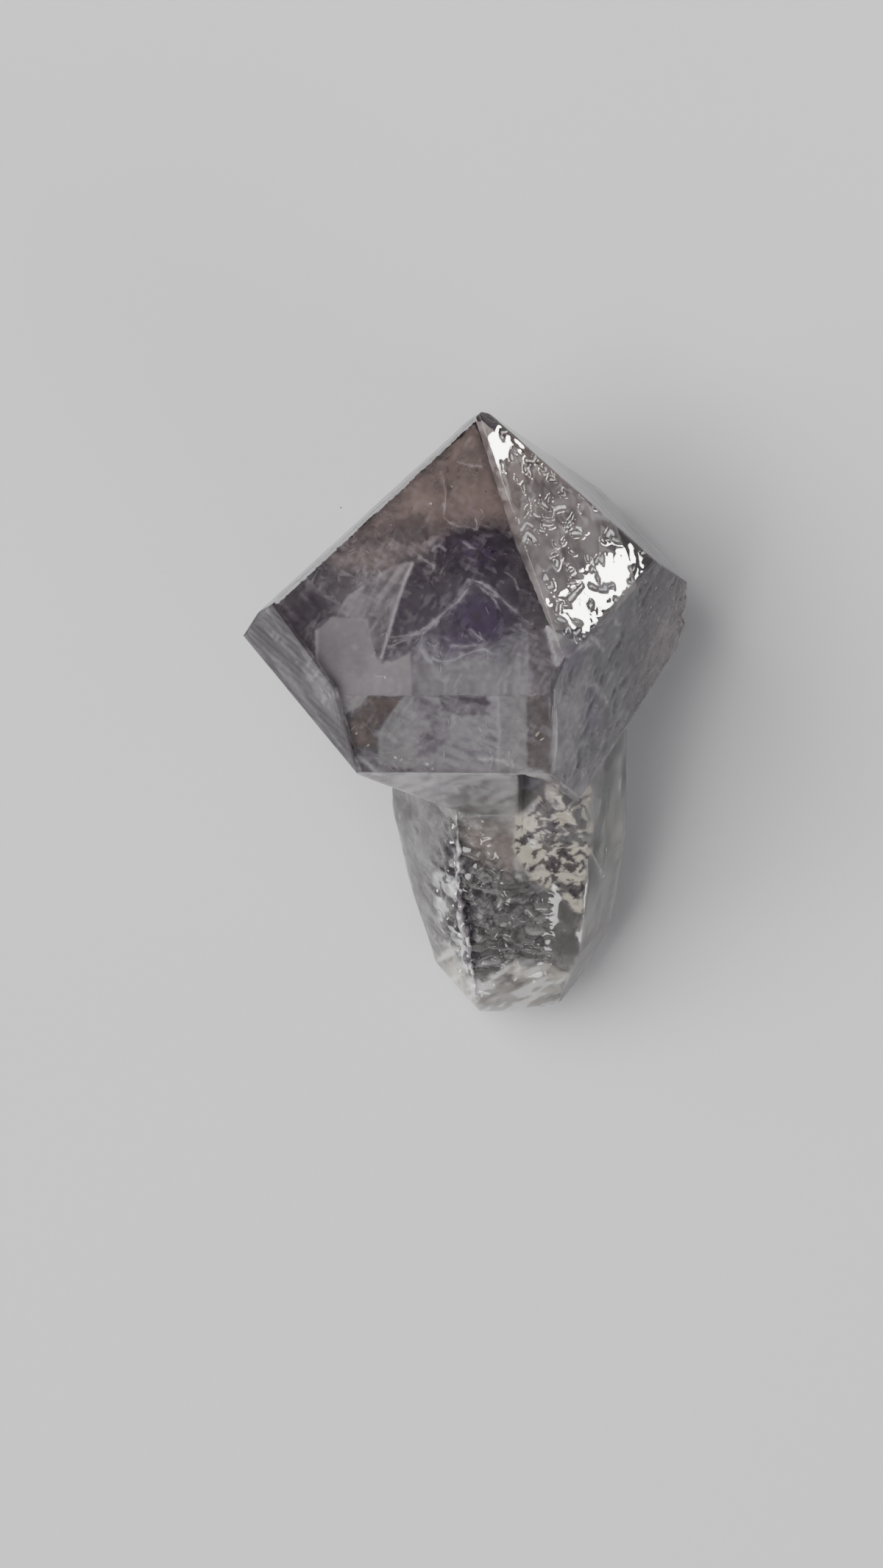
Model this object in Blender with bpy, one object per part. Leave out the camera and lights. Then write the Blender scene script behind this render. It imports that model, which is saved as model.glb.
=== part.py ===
"""Amethyst scepter quartz: a six-sided second-generation head grown over a narrower, tapering stem,
one solid, lying on its back so that the big front face looks up.

Crystal frame while it is built: the tip is the origin, the long axis is +Z, the front face looks along -Y.
Row frame at the end: +Z up, +Y along the crystal towards its tip, origin under the middle of its bounds.
"""

import math

import bmesh
import bpy
from mathutils import Matrix, Vector

NODE = "scepter_crystal"
MM = 0.001

# Face directions, in degrees: azimuth is turned from the front towards +X, rise is up from the girdle plane.
TURN = 1.3  # the front face is turned this far to the right
STEP = 60.0  # sixfold spacing of the faces
PYRAMID_RISE = 38.2  # terminal faces of quartz stand 38.2 degrees to the long axis
UNDER_RISE = -36.0  # faces that neck the head in to the stem

# Distance of each face plane from the tip, in mm, by how many steps of 60 degrees it is from the front.
PYRAMID = {0: 0.0, 1: 0.0, 2: 0.227, 3: 0.09, 4: -0.045}
PRISM = {0: 5.213, 1: 4.685, 2: 6.79, 4: 5.60}
UNDER = {0: 10.09, 2: 11.28, 4: 10.40}

# Faces that do not follow the sixfold spacing: azimuth, rise, distance.
STRIATED_SIDE = (-47.0, -10.3, 7.80)  # stepped growth between prism and pyramid, lower left
LEFT_RIM = (-128.6, 28.9, 0.153)  # narrow slope behind the upper left edge
LEFT_UNDER = (-67.5, -37.0, 10.21)
LOWER_LEFT_UNDER = (-46.7, -48.8, 11.635)
RIGHT_UNDER = (73.3, -35.7, 10.656)
BACK_UNDER = (-178.7, -38.0, 12.195)
BLUNT_TIP = (0.0, 90.0, -0.03)

# Stem: support distances of its six faces at the neck, in mm, then (height, x, y, share) of each level.
STEM_FACES = (3.04, 3.67, 2.70, 2.66, 3.38, 2.97)
STEM_LEVELS = (
    (-9.7, 1.10, 0.79, 1.00),
    (-16.5, 1.24, 0.79, 0.99),
    (-19.9, 1.40, 0.83, 0.85),
    (-22.7, 1.34, 0.86, 0.62),
    (-23.35, 1.22, 0.86, 0.46),
)
BROKEN_END = ((20.0, -76.0, 22.85), (-115.0, -62.0, 21.25), (95.0, -66.0, 21.75))

# Shoulder: rough second growth that runs from the head's rim down the right of the stem's front.
SHOULDER_FRONT = (14.0, -23.0, 8.82)
SHOULDER_LEFT = 1.60
SHOULDER_RIGHT = (61.3, 0.0, 4.40)
SHOULDER_TOP = -10.0
SHOULDER_BOTTOM = -18.4
SHOULDER_BACK = -1.3

# Two small chips out of the right-hand edge: height, depth behind the tip (+Y is back), radius.
CHIP_X = 6.72
CHIPS = ((-8.72, 2.21, 0.26), (-9.62, 2.21, 0.38))

# Lying down: the long axis rises this much to the tip, with a slight roll; then the two contacts are worn flat.
TIP_RISE = 22.65
ROLL = -1.2
CONTACT_WEAR = 0.15

CRYSTAL_COLOR = (0.62, 0.57, 0.64, 1.0)
BLOCK = 30.0


def direction(azimuth, rise):
    """Unit vector at this azimuth and rise in the crystal frame."""
    a = math.radians(azimuth)
    r = math.radians(rise)
    return Vector((math.sin(a) * math.cos(r), -math.cos(a) * math.cos(r), math.sin(r)))


def cut(bm, azimuth, rise, distance):
    """Takes away what lies beyond the plane and closes the opening."""
    normal = direction(azimuth, rise)
    cutPlane(bm, normal * distance * MM, normal)


def cutPlane(bm, point, normal):
    geom = bm.verts[:] + bm.edges[:] + bm.faces[:]
    done = bmesh.ops.bisect_plane(bm, geom=geom, plane_co=point, plane_no=normal, clear_outer=True, dist=1e-9)
    rim = [e for e in done["geom_cut"] if isinstance(e, bmesh.types.BMEdge)]
    if rim:
        bmesh.ops.edgenet_fill(bm, edges=rim)


def newObject(name, bm):
    bmesh.ops.recalc_face_normals(bm, faces=bm.faces)
    mesh = bpy.data.meshes.new(name)
    bm.to_mesh(mesh)
    bm.free()
    obj = bpy.data.objects.new(name, mesh)
    bpy.context.scene.collection.objects.link(obj)
    return obj


def block():
    bm = bmesh.new()
    bmesh.ops.create_cube(bm, size=2 * BLOCK * MM)
    return bm


def head():
    """Pyramid, prism and the faces that neck in below, cut out of a block."""
    bm = block()
    for k, distance in PYRAMID.items():
        cut(bm, TURN + k * STEP, PYRAMID_RISE, distance)
    for k, distance in PRISM.items():
        cut(bm, TURN + k * STEP, 0.0, distance)
    for k, distance in UNDER.items():
        cut(bm, TURN + k * STEP, UNDER_RISE, distance)
    for face in (STRIATED_SIDE, LEFT_RIM, LEFT_UNDER, LOWER_LEFT_UNDER, RIGHT_UNDER, BACK_UNDER, BLUNT_TIP):
        cut(bm, *face)
    return newObject("head", bm)


def stemRing(height, x, y, share):
    """Corners of the stem's six-sided section at one level."""
    corners = []
    for k in range(6):
        a = direction(TURN + k * STEP, 0.0)
        b = direction(TURN + (k + 1) * STEP, 0.0)
        da = STEM_FACES[k] * share
        db = STEM_FACES[(k + 1) % 6] * share
        det = a.x * b.y - a.y * b.x
        px = (da * b.y - db * a.y) / det
        py = (a.x * db - b.x * da) / det
        corners.append(Vector((x + px, y + py, height)) * MM)
    return corners


def stem():
    """Tapering six-sided stem with a broken end."""
    bm = bmesh.new()
    for level in STEM_LEVELS:
        for corner in stemRing(*level):
            bm.verts.new(corner)
    hull = bmesh.ops.convex_hull(bm, input=bm.verts)
    spare = [v for v in hull["geom_interior"] if isinstance(v, bmesh.types.BMVert)]
    bmesh.ops.delete(bm, geom=spare, context="VERTS")
    for face in BROKEN_END:
        cut(bm, *face)
    return newObject("stem", bm)


def shoulder():
    """Wedge of rough growth at the neck."""
    bm = block()
    cut(bm, *SHOULDER_FRONT)
    cut(bm, *SHOULDER_RIGHT)
    cutPlane(bm, Vector((SHOULDER_LEFT, 0, 0)) * MM, Vector((-1, 0, 0)))
    cutPlane(bm, Vector((0, 0, SHOULDER_TOP)) * MM, Vector((0, 0, 1)))
    cutPlane(bm, Vector((0, 0, SHOULDER_BOTTOM)) * MM, Vector((0, 0, -1)))
    cutPlane(bm, Vector((0, SHOULDER_BACK, 0)) * MM, Vector((0, 1, 0)))
    return newObject("shoulder", bm)


def chip(height, depth, radius):
    bm = bmesh.new()
    place = Matrix.Translation(Vector((CHIP_X, depth, height)) * MM)
    bmesh.ops.create_icosphere(bm, subdivisions=1, radius=radius * MM, matrix=place)
    return newObject("chip", bm)


def combine(base, other, operation):
    """Boolean of base with other, which is used up."""
    mod = base.modifiers.new(operation, "BOOLEAN")
    mod.operation = operation
    mod.solver = "EXACT"
    mod.object = other
    graph = bpy.context.evaluated_depsgraph_get()
    mesh = bpy.data.meshes.new_from_object(base.evaluated_get(graph))
    base.modifiers.clear()
    base.data = mesh
    bpy.data.objects.remove(other)


def layDown(obj):
    """Turns the crystal on to its back, wears the contacts flat and centres it over the origin."""
    bm = bmesh.new()
    bm.from_mesh(obj.data)
    lie = Matrix.Rotation(math.radians(TIP_RISE - 90.0), 4, "X")
    roll = Matrix.Rotation(math.radians(ROLL), 4, "Y")
    bmesh.ops.transform(bm, matrix=roll @ lie, verts=bm.verts)
    floor = min(v.co.z for v in bm.verts) + CONTACT_WEAR * MM
    cutPlane(bm, Vector((0, 0, floor)), Vector((0, 0, -1)))
    bmesh.ops.dissolve_limit(bm, angle_limit=math.radians(0.2), verts=bm.verts, edges=bm.edges)
    bmesh.ops.remove_doubles(bm, verts=bm.verts, dist=2e-6)
    xs = [v.co.x for v in bm.verts]
    ys = [v.co.y for v in bm.verts]
    move = Vector((-(min(xs) + max(xs)) / 2, -(min(ys) + max(ys)) / 2, -floor))
    bmesh.ops.translate(bm, vec=move, verts=bm.verts)
    bmesh.ops.triangulate(bm, faces=bm.faces)
    bmesh.ops.recalc_face_normals(bm, faces=bm.faces)
    bm.to_mesh(obj.data)
    bm.free()


def crystalMaterial():
    mat = bpy.data.materials.new("crystal")
    mat.use_nodes = True
    shader = mat.node_tree.nodes["Principled BSDF"]
    shader.inputs["Base Color"].default_value = CRYSTAL_COLOR
    shader.inputs["Roughness"].default_value = 0.15
    shader.inputs["Transmission Weight"].default_value = 0.8
    shader.inputs["IOR"].default_value = 1.544
    return mat


def main():
    for old in list(bpy.data.objects):
        bpy.data.objects.remove(old)
    crystal = head()
    combine(crystal, stem(), "UNION")
    combine(crystal, shoulder(), "UNION")
    for spec in CHIPS:
        combine(crystal, chip(*spec), "DIFFERENCE")
    layDown(crystal)
    crystal.name = NODE
    crystal.data.name = NODE
    crystal.data.materials.clear()
    crystal.data.materials.append(crystalMaterial())
    group = bpy.data.collections.new("amethyst_scepter_quartz")
    bpy.context.scene.collection.children.link(group)
    bpy.context.scene.collection.objects.unlink(crystal)
    group.objects.link(crystal)


main()
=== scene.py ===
import math
from types import SimpleNamespace

import bmesh
import bpy
import numpy as np
from mathutils import Matrix, Vector, geometry, noise


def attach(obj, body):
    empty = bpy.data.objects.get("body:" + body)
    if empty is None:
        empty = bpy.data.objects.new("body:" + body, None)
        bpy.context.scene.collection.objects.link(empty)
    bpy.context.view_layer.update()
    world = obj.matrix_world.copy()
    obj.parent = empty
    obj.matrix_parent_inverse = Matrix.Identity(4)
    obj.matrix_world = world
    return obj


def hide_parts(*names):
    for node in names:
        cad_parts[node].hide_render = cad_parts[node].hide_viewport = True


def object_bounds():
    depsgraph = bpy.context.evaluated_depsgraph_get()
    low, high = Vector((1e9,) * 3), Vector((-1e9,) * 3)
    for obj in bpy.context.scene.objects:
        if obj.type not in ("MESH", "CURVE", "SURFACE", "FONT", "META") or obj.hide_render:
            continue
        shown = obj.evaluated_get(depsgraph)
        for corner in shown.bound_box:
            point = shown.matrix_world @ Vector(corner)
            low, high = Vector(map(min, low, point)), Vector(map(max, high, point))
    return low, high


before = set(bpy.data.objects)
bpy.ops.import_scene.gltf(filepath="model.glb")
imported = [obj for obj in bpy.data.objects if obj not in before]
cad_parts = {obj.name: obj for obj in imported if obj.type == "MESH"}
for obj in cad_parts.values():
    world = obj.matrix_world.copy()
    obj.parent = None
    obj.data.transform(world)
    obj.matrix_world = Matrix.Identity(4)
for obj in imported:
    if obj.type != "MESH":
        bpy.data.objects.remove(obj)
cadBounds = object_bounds()
mm = 0.001
print("frame loaded")

# How the crystal lies. Azimuth is turned from its front towards +X, rise is up towards the tip.
lie = {
    "tipRise": 22.65,  # the long axis rises this much
    "roll": -1.2,
    "viewRise": 39.3,  # the front is seen from this far above the girdle
    "viewTurn": -1.3,  # the upright is turned this much in the view
    "tipInCrystal": (0.1124, 0.1458, -0.0364),  # the blunt tip from the meeting point of the faces, mm
}
lieTurn = Matrix.Rotation(math.radians(lie["roll"]), 3, "Y") @ Matrix.Rotation(
    math.radians(lie["tipRise"] - 90.0), 3, "X"
)
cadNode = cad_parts["scepter_crystal"]
longAxis = lieTurn @ Vector((0, 0, 1))


def crystalDirection(azimuth, rise):
    a = math.radians(azimuth)
    r = math.radians(rise)
    return lieTurn @ Vector((math.sin(a) * math.cos(r), -math.cos(a) * math.cos(r), math.sin(r)))


bluntTip = max((v.co for v in cadNode.data.vertices), key=lambda co: co.dot(longAxis))
origin = bluntTip - lieTurn @ Vector(lie["tipInCrystal"]) * mm
viewOut = crystalDirection(0.0, lie["viewRise"])
levelRight = lieTurn @ Vector((1, 0, 0))
levelDown = levelRight.cross(viewOut)
levelDown = levelDown if levelDown.dot(longAxis) < 0 else -levelDown
turn = math.radians(lie["viewTurn"])
viewRight = levelRight * math.cos(turn) + levelDown * math.sin(turn)
viewDown = levelDown * math.cos(turn) - levelRight * math.sin(turn)
originMm = np.array(origin) / mm
rightWay, downWay, outWay = (np.array(v) for v in (viewRight, viewDown, viewOut))


def spot(right, down, deep):
    # a place seen from the front: mm to the right of the tip, below it and behind the front face
    return origin + (viewRight * right + viewDown * down - viewOut * deep) * mm


def frontView(points):
    # where points (mm) are in the front view: mm to the right of the tip and below it
    d = points - originMm
    return np.stack([d @ rightWay, d @ downWay], axis=1)


def smooth(low, high, x):
    t = np.clip((x - low) / (high - low), 0.0, 1.0)
    return t * t * (3 - 2 * t)


def seeded(seed):
    # moves the noise to a place of its own
    return Vector((seed, seed * 1.7, seed * 0.6))


def noiseOf(points, scale, seed=0.0):
    shift = seeded(seed)
    return np.array([noise.noise(Vector(p) * scale + shift) for p in points])


def ridgesOf(points, scale, seed=0.0):
    places = [Vector(p) * scale + seeded(seed) for p in points]
    return np.array([noise.ridged_multi_fractal(p, 0.9, 2.1, 4, 1.0, 2.0) for p in places])


def cellsOf(points, scale, seed=0.0):
    # distance to the nearest cell centre and to the cell's edge, and a tone from 0 to 1 for each cell
    shift = seeded(seed)
    found = [noise.voronoi(Vector(p) * scale + shift) for p in points]
    near = np.array([f[0][0] for f in found])
    second = np.array([f[0][1] for f in found])
    centre = np.array([tuple(f[1][0]) for f in found])
    return near, second - near, (np.sin(centre @ np.array([12.99, 78.23, 37.72])) * 437.58) % 1.0


def cloud(points, size, seed, octaves=3):
    # soft noise from 0 to 1 over points in mm, with features of this size
    table = np.random.default_rng(seed).random(4096)
    total = np.zeros(len(points))
    weight = 0.0
    for octave in range(octaves):
        p = points / size * 2.0 ** octave + 7.3 * octave
        base = np.floor(p).astype(np.int64)
        f = p - base
        f = f * f * (3 - 2 * f)
        value = np.zeros(len(points))
        for corner in np.ndindex(2, 2, 2):
            x, y, z = (base + corner).T
            key = x * 73856093 ^ y * 19349663 ^ z * 83492791
            share = np.where(corner, f, 1 - f)
            value += table[key & 4095] * share[:, 0] * share[:, 1] * share[:, 2]
        total += value * 0.5 ** octave
        weight += 0.5 ** octave
    return total / weight


def mottle(points, size, seed, octaves=3):
    # the same noise with its contrast stretched
    return smooth(0.30, 0.70, cloud(points, size, seed, octaves))


def worms(points, size, seed):
    # thin winding lines, broken where a second noise is low
    line = smooth(0.80, 0.96, 1.0 - np.abs(2.0 * cloud(points, size, seed, 2) - 1.0))
    return line * smooth(0.42, 0.60, cloud(points, size * 1.7, seed + 1, 2))


def along(at, way, size, seed, stretch=6.0):
    # streaks that run along a direction of the front view
    c, k = math.cos(math.radians(way)), math.sin(math.radians(way))
    x = (at[:, 0] * c + at[:, 1] * k) / stretch
    y = at[:, 1] * c - at[:, 0] * k
    return mottle(np.stack([x, y, np.zeros(len(at))], axis=1), size, seed)


def bendBy(at, points, size, seed, reach):
    # the same places of the front view, moved about so that outlines wander
    return at + (np.stack([cloud(points, size, seed), cloud(points, size, seed + 1)], axis=1) - 0.5) * reach


def inside(points, ring, counted=None):
    # even-odd test and distance to the ring's counted sides, for all the points at once
    x, y = points[:, 0], points[:, 1]
    hit = np.zeros(len(points), bool)
    near = np.full(len(points), 1e9)
    for i, (a, b) in enumerate(zip(ring, np.roll(ring, -1, axis=0))):
        crosses = (a[1] > y) != (b[1] > y)
        span = b[1] - a[1] if b[1] != a[1] else 1e-12
        hit ^= crosses & (x < (b[0] - a[0]) * (y - a[1]) / span + a[0])
        if counted is not None and not counted[i]:
            continue
        d = b - a
        t = np.clip(((x - a[0]) * d[0] + (y - a[1]) * d[1]) / max(d @ d, 1e-18), 0, 1)
        near = np.minimum(near, np.hypot(x - a[0] - t * d[0], y - a[1] - t * d[1]))
    return hit, near


def strip(points, start, end):
    # distance from each point to a line piece
    d = end - start
    t = np.clip(((points - start) @ d) / max(d @ d, 1e-12), 0, 1)
    return np.linalg.norm(points - start - t[:, None] * d, axis=1)


def patchOf(at, ring, soft=0.06):
    # 1 inside the ring and 0 outside, over a soft border
    hit, near = inside(at, np.array(ring))
    return smooth(-soft, soft, np.where(hit, near, -near))


def strokeOf(at, line, width):
    # 1 on the line, fading over this width
    line = np.array(line)
    near = np.full(len(at), 1e9)
    for a, b in zip(line[:-1], line[1:]):
        near = np.minimum(near, strip(at, a, b))
    return np.exp(-((near / width) ** 2))


def blobOf(at, centre, size, lean=0.0):
    # a soft oval, 1 at its centre
    d = at - np.array(centre)
    c, s = math.cos(math.radians(lean)), math.sin(math.radians(lean))
    x = (d[:, 0] * c + d[:, 1] * s) / size[0]
    y = (d[:, 1] * c - d[:, 0] * s) / size[1]
    return np.exp(-(x * x + y * y))


def newPiece(name, mesh):
    obj = bpy.data.objects.new(name, mesh)
    bpy.context.scene.collection.objects.link(obj)
    return obj


def bmeshPiece(name, bm, isSmooth=False):
    mesh = bpy.data.meshes.new(name)
    bm.to_mesh(mesh)
    bm.free()
    if isSmooth:
        mesh.shade_smooth()
    return newPiece(name, mesh)


def numpyPiece(name, points, triangles):
    mesh = bpy.data.meshes.new(name)
    mesh.from_pydata([tuple(p) for p in points * mm], [], [tuple(int(i) for i in t) for t in triangles])
    mesh.validate()
    mesh.update()
    return newPiece(name, mesh)


def keepValues(mesh, name, values):
    # one number at every point of the mesh
    mesh.attributes.new(name, "FLOAT", "POINT").data.foreach_set("value", np.array(values, np.float32))


def keepTint(mesh, color):
    # one colour at every point of the mesh
    rgba = np.concatenate([color, np.ones((len(color), 1))], axis=1).astype(np.float32)
    mesh.attributes.new("tint", "FLOAT_COLOR", "POINT").data.foreach_set("color", rgba.ravel())


surface = {
    "spacing": {  # mm between points on each kind of face
        "front": 0.09, "right": 0.05, "striated": 0.06, "stemFront": 0.065, "shoulder": 0.06,
        "stemLeft": 0.075, "stemRight": 0.09, "brokenEnd": 0.075, "prism": 0.08, "under": 0.12,
        "side": 0.14, "stemBack": 0.13, "contact": 0.25,
    },
    "frost": {  # how matt each kind of face is, from 0 to 1
        "stemFront": 0.16, "stemLeft": 0.22, "stemRight": 0.9, "shoulder": 0.3, "brokenEnd": 1.0,
        "under": 0.45, "stemBack": 0.6, "contact": 1.0, "striated": 0.25, "prism": 0.08, "side": 0.05,
    },
    "worn": ("stemFront", "stemLeft", "stemRight", "stemBack", "under", "brokenEnd", "shoulder"),
    "wornShare": 0.5,  # how much the worn faces are evened out
    "sharpFrom": 24.0,  # degrees between two faces that meet in an edge worth calling one
    "shadeSharpFrom": 28.0,
    "rim": 0.035,  # mm, first row of points inside an edge
    "jitter": 0.12,  # of the spacing
    "rowShare": 0.87,  # rows of points are this close, of the spacing
    "edgeWear": 0.012,  # mm, how far the sharp edges are worn back
    "quietEdges": [[(-6.17, 5.74), (-4.27, 8.41)], [(2.59, 8.41), (2.41, 10.87)]],  # sharp and unworn
    "hillocks": 84,
    "hillockHeight": 0.035,
    "striaeDepth": 0.014,
    "striaeStep": 0.34,
    "pitDepth": 0.16,
    "bubbles": 2.5,  # across a millimetre of the stem
    "bubbleStretch": [1.0, 1.0, 0.8],
    "bubbleRise": 0.12,
    "etchedAt": -0.1,  # mm from the long axis, where the stem's front is etched deepest
    "roughDepth": 0.26,
    "stepSoftening": 60,  # rounds that even out the step beside the shoulder
    "shoulderRise": ((1.35, 2.70), (14.24, 12.89)),  # places of the front view between which it rises
    "seed": 11,
}


def faceKind(azimuth, rise, height, rowDown):
    # which kind of face looks this way at this height of the crystal, mm
    def near(a, b, reach):
        return abs((a - b + 180) % 360 - 180) < reach

    if rowDown < -0.999:
        return "contact"
    if rise > 25:
        return "front" if near(azimuth, 1.3, 5) else "right" if near(azimuth, 61.3, 5) else "side"
    if near(azimuth, -47, 4) and abs(rise + 10.3) < 3 and height > -12:
        return "striated"
    if near(azimuth, 14, 4) and abs(rise + 23) < 4 or near(azimuth, -90, 4) and height < -10 and rise > -5:
        return "shoulder"
    if rise < -50 and height < -19:
        return "brokenEnd"
    if height < -13:
        if near(azimuth, 1.3, 5) and rise > -40:
            return "stemFront"
        if near(azimuth, -58.7, 6) and rise > -35:
            return "stemLeft"
        if near(azimuth, 61.3, 6) and rise > -35:
            return "stemRight"
        return "stemBack" if height < -14 or rise > -20 else "under"
    return "under" if rise < -25 else "prism"


def flatFaces(node):
    # the frame's solid as merged flat faces
    bm = bmesh.new()
    bm.from_mesh(node.data)
    bmesh.ops.remove_doubles(bm, verts=bm.verts, dist=2e-6)
    bmesh.ops.dissolve_limit(bm, angle_limit=math.radians(0.4), verts=bm.verts, edges=bm.edges)
    bm.normal_update()
    return bm


def splitEdges(bm, kindLayer):
    # points along each edge at the finer spacing of its two faces
    steps = {face: surface["spacing"][face[kindLayer].decode()] for face in bm.faces}
    for edge in list(bm.edges):
        cuts = int(edge.calc_length() / (min(steps[face] for face in edge.link_faces) * mm))
        if cuts:
            bmesh.ops.subdivide_edges(bm, edges=[edge], cuts=cuts)


def gridOver(ring, step, rng, jitter):
    # rows of points over a ring's box, every other row half a step along, each point moved a little
    low, high = ring.min(axis=0), ring.max(axis=0)
    rows = np.arange(low[1], high[1], step * surface["rowShare"])
    gx, gy = np.meshgrid(np.arange(low[0], high[0], step), rows)
    gx[1::2] += step / 2
    return np.stack([gx.ravel(), gy.ravel()], axis=1) + rng.uniform(-jitter, jitter, (gx.size, 2)) * step


def fillFace(face, step, rng):
    # points and triangles of one flat face: its own ring, a row just inside it, and a jittered grid
    rim = surface["rim"]
    normal = np.array(face.normal)
    corners = np.array([v.co for v in face.verts]) / mm
    middle = corners.mean(axis=0)
    across = np.cross(normal, (0.31, 0.62, 0.72))
    across /= np.linalg.norm(across)
    up = np.cross(normal, across)
    ring = np.stack([(corners - middle) @ across, (corners - middle) @ up], axis=1)
    grid = gridOver(ring, step, rng, surface["jitter"])
    hit, near = inside(grid, ring)
    grid = grid[hit & (near > rim + step * 0.4)]
    ahead = np.roll(ring, -1, axis=0) - ring
    ahead /= np.maximum(np.linalg.norm(ahead, axis=1, keepdims=True), 1e-9)
    row = (ring + np.roll(ring, -1, axis=0)) / 2 + np.stack([-ahead[:, 1], ahead[:, 0]], axis=1) * rim
    hit, near = inside(row, ring)
    row = row[hit & (near > rim * 0.8)]
    points = np.concatenate([ring, row, grid])
    n = len(ring)
    edges = [(i, (i + 1) % n) for i in range(n)]
    verts, _, tris, source, _, _ = geometry.delaunay_2d_cdt([Vector(p) for p in points], edges, [], 1, 1e-6)
    ringOf = [s[0] if s and s[0] < n else -1 for s in source]
    placed = np.array(verts)
    solid = middle + placed[:, :1] * across + placed[:, 1:] * up
    sharp = [loop.edge.calc_face_angle() > math.radians(surface["sharpFrom"]) for loop in face.loops]
    return solid, inside(placed, ring, sharp)[1], ringOf, tris


def buildSurface():
    # points (mm) and triangles of the whole surface, and for each face its points, their depth
    # inside its edges, its kind and its normal
    rng = np.random.default_rng(surface["seed"])
    bm = flatFaces(cadNode)
    kindLayer = bm.faces.layers.string.new("kind")
    toCrystal = lieTurn.transposed()
    for face in bm.faces:
        n = toCrystal @ face.normal
        centre = toCrystal @ (face.calc_center_median() - origin) / mm
        azimuth = math.degrees(math.atan2(n.x, -n.y))
        rise = math.degrees(math.asin(max(-1.0, min(1.0, n.z))))
        face[kindLayer] = faceKind(azimuth, rise, centre.z, face.normal.z).encode()
    splitEdges(bm, kindLayer)
    bm.verts.ensure_lookup_table()
    bm.verts.index_update()
    points = [np.array([v.co for v in bm.verts]) / mm]
    triangles, faces = [], []
    total = len(points[0])
    for face in bm.faces:
        kind = face[kindLayer].decode()
        solid, depth, ringOf, tris = fillFace(face, surface["spacing"][kind], rng)
        ringOf = np.array(ringOf)
        fresh = ringOf < 0
        ids = np.empty(len(ringOf), int)
        ids[fresh] = total + np.arange(fresh.sum())
        ids[~fresh] = [face.verts[i].index for i in ringOf[~fresh]]
        points.append(solid[fresh])
        total += int(fresh.sum())
        triangles.append(ids[np.array(tris)])
        faces.append((ids, depth, kind, np.array(face.normal)))
    bm.free()
    return np.concatenate(points), np.concatenate(triangles), faces


def hillocks(place, rng):
    # raised growth hillocks on the right-hand face: short worms with flat tops
    height = np.zeros(len(place))
    downFace = np.array([0.45, 0.18, -0.87])
    acrossFace = np.array([0.38, 0.80, 0.45])
    for _ in range(surface["hillocks"]):
        start = place[rng.integers(len(place))]
        angle = rng.normal(0.3, 0.9)
        length = rng.uniform(0.10, 0.60)
        width = rng.uniform(0.045, 0.09)
        way = downFace * math.cos(angle) + acrossFace * math.sin(angle)
        bend = acrossFace * math.cos(angle) - downFace * math.sin(angle)
        knee = start + way * length * 0.5 + bend * rng.uniform(-0.25, 0.25)
        end = start + way * length + bend * rng.uniform(-0.25, 0.25)
        near = np.minimum(strip(place, start, knee), strip(place, knee, end))
        rise = surface["hillockHeight"] * rng.uniform(0.5, 1.2)
        height = np.maximum(height, rise * np.exp(-((near / width) ** 4)))
    return height


def bubblesAt(place):
    # the etched bubbles of the stem's front, as cells
    bend = np.stack([noiseOf(place, 1.3, seed) for seed in (81.0, 84.0, 87.0)], axis=1)
    return cellsOf((place + bend * 0.45) * np.array(surface["bubbleStretch"]), surface["bubbles"], 20.0)


stemZones = {  # outlines in the front view, mm to the right of the tip and below it
    "bubbly": [
        (-1.01, 13.12), (-0.11, 13.12), (1.24, 13.9), (2.32, 14.35), (2.25, 17.17), (-0.11, 17.62),
        (-0.88, 16.49), (-1.57, 14.02),
    ],
    # where the stem's front and left are painted with glints
    "paintedGlints": [
        (-1.28, 14.02), (-0.88, 13.88), (-0.47, 14.35), (-0.52, 15.14), (-0.25, 16.27), (0.11, 17.62),
        (-0.52, 18.02), (-0.74, 16.72), (-1.1, 15.64),
    ],
    "smoothTop": [(-0.45, 12.44), (1.78, 12.44), (2.14, 13.79), (1.01, 14.02), (-0.11, 13.46)],
    "collar": [
        (-1.69, 10.87), (1.24, 10.87), (1.51, 12.8), (0.34, 12.71), (-0.56, 12.4), (-1.24, 11.77),
    ],
    "brokenEnd": [
        (-1.01, 16.16), (-0.52, 16.49), (-0.22, 17.17), (0.22, 17.39), (0.79, 17.08), (1.24, 16.67),
        (1.64, 16.9), (2.25, 16.76), (2.92, 17.17), (2.25, 18.52), (-0.56, 18.52), (-1.24, 17.17),
    ],
}
stemSteps = [  # lines of the front view where a step is evened out, each with its reach
    ([(1.40, 11.36), (1.40, 14.24)], 0.55),
    ([(1.40, 14.17), (2.70, 14.17)], 0.40),
    ([(3.55, 12.89), (4.14, 14.06)], 0.25),
]


def prismRelief(place, at, calm):
    # growth lines across the face; the head's right side is etched, and the stem's is rougher
    lines = noiseOf(place * np.array([0.15, 0.15, 4.5]), 1.0, 8.0)
    rough = 0.02 * noiseOf(place, 1.6, 9.0) * smooth(-9.5, -12.5, place[:, 2])
    etched = smooth(0.0, 0.25, noiseOf(place, 0.8, 10.0)) * smooth(0.05, 0.45, noiseOf(place, 3.4, 11.0))
    rough += (0.011 * noiseOf(place, 2.6, 13.0) - 0.034 * etched) * smooth(2.3, 2.8, at[:, 0])
    return calm * (0.005 * lines + 0.004 * noiseOf(place, 1.0, 7.0) + rough)


def striatedRelief(place, calm):
    level = place[:, 2] + 0.30 * place[:, 0] + 0.12 * noiseOf(place, 0.5, 4.0)
    saw = (level / surface["striaeStep"]) % 1.0
    fine = noiseOf(place * np.array([0.3, 0.3, 9.0]), 1.0, 12.0)
    return calm * surface["striaeDepth"] * (saw - 0.5 + 0.5 * fine)


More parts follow.
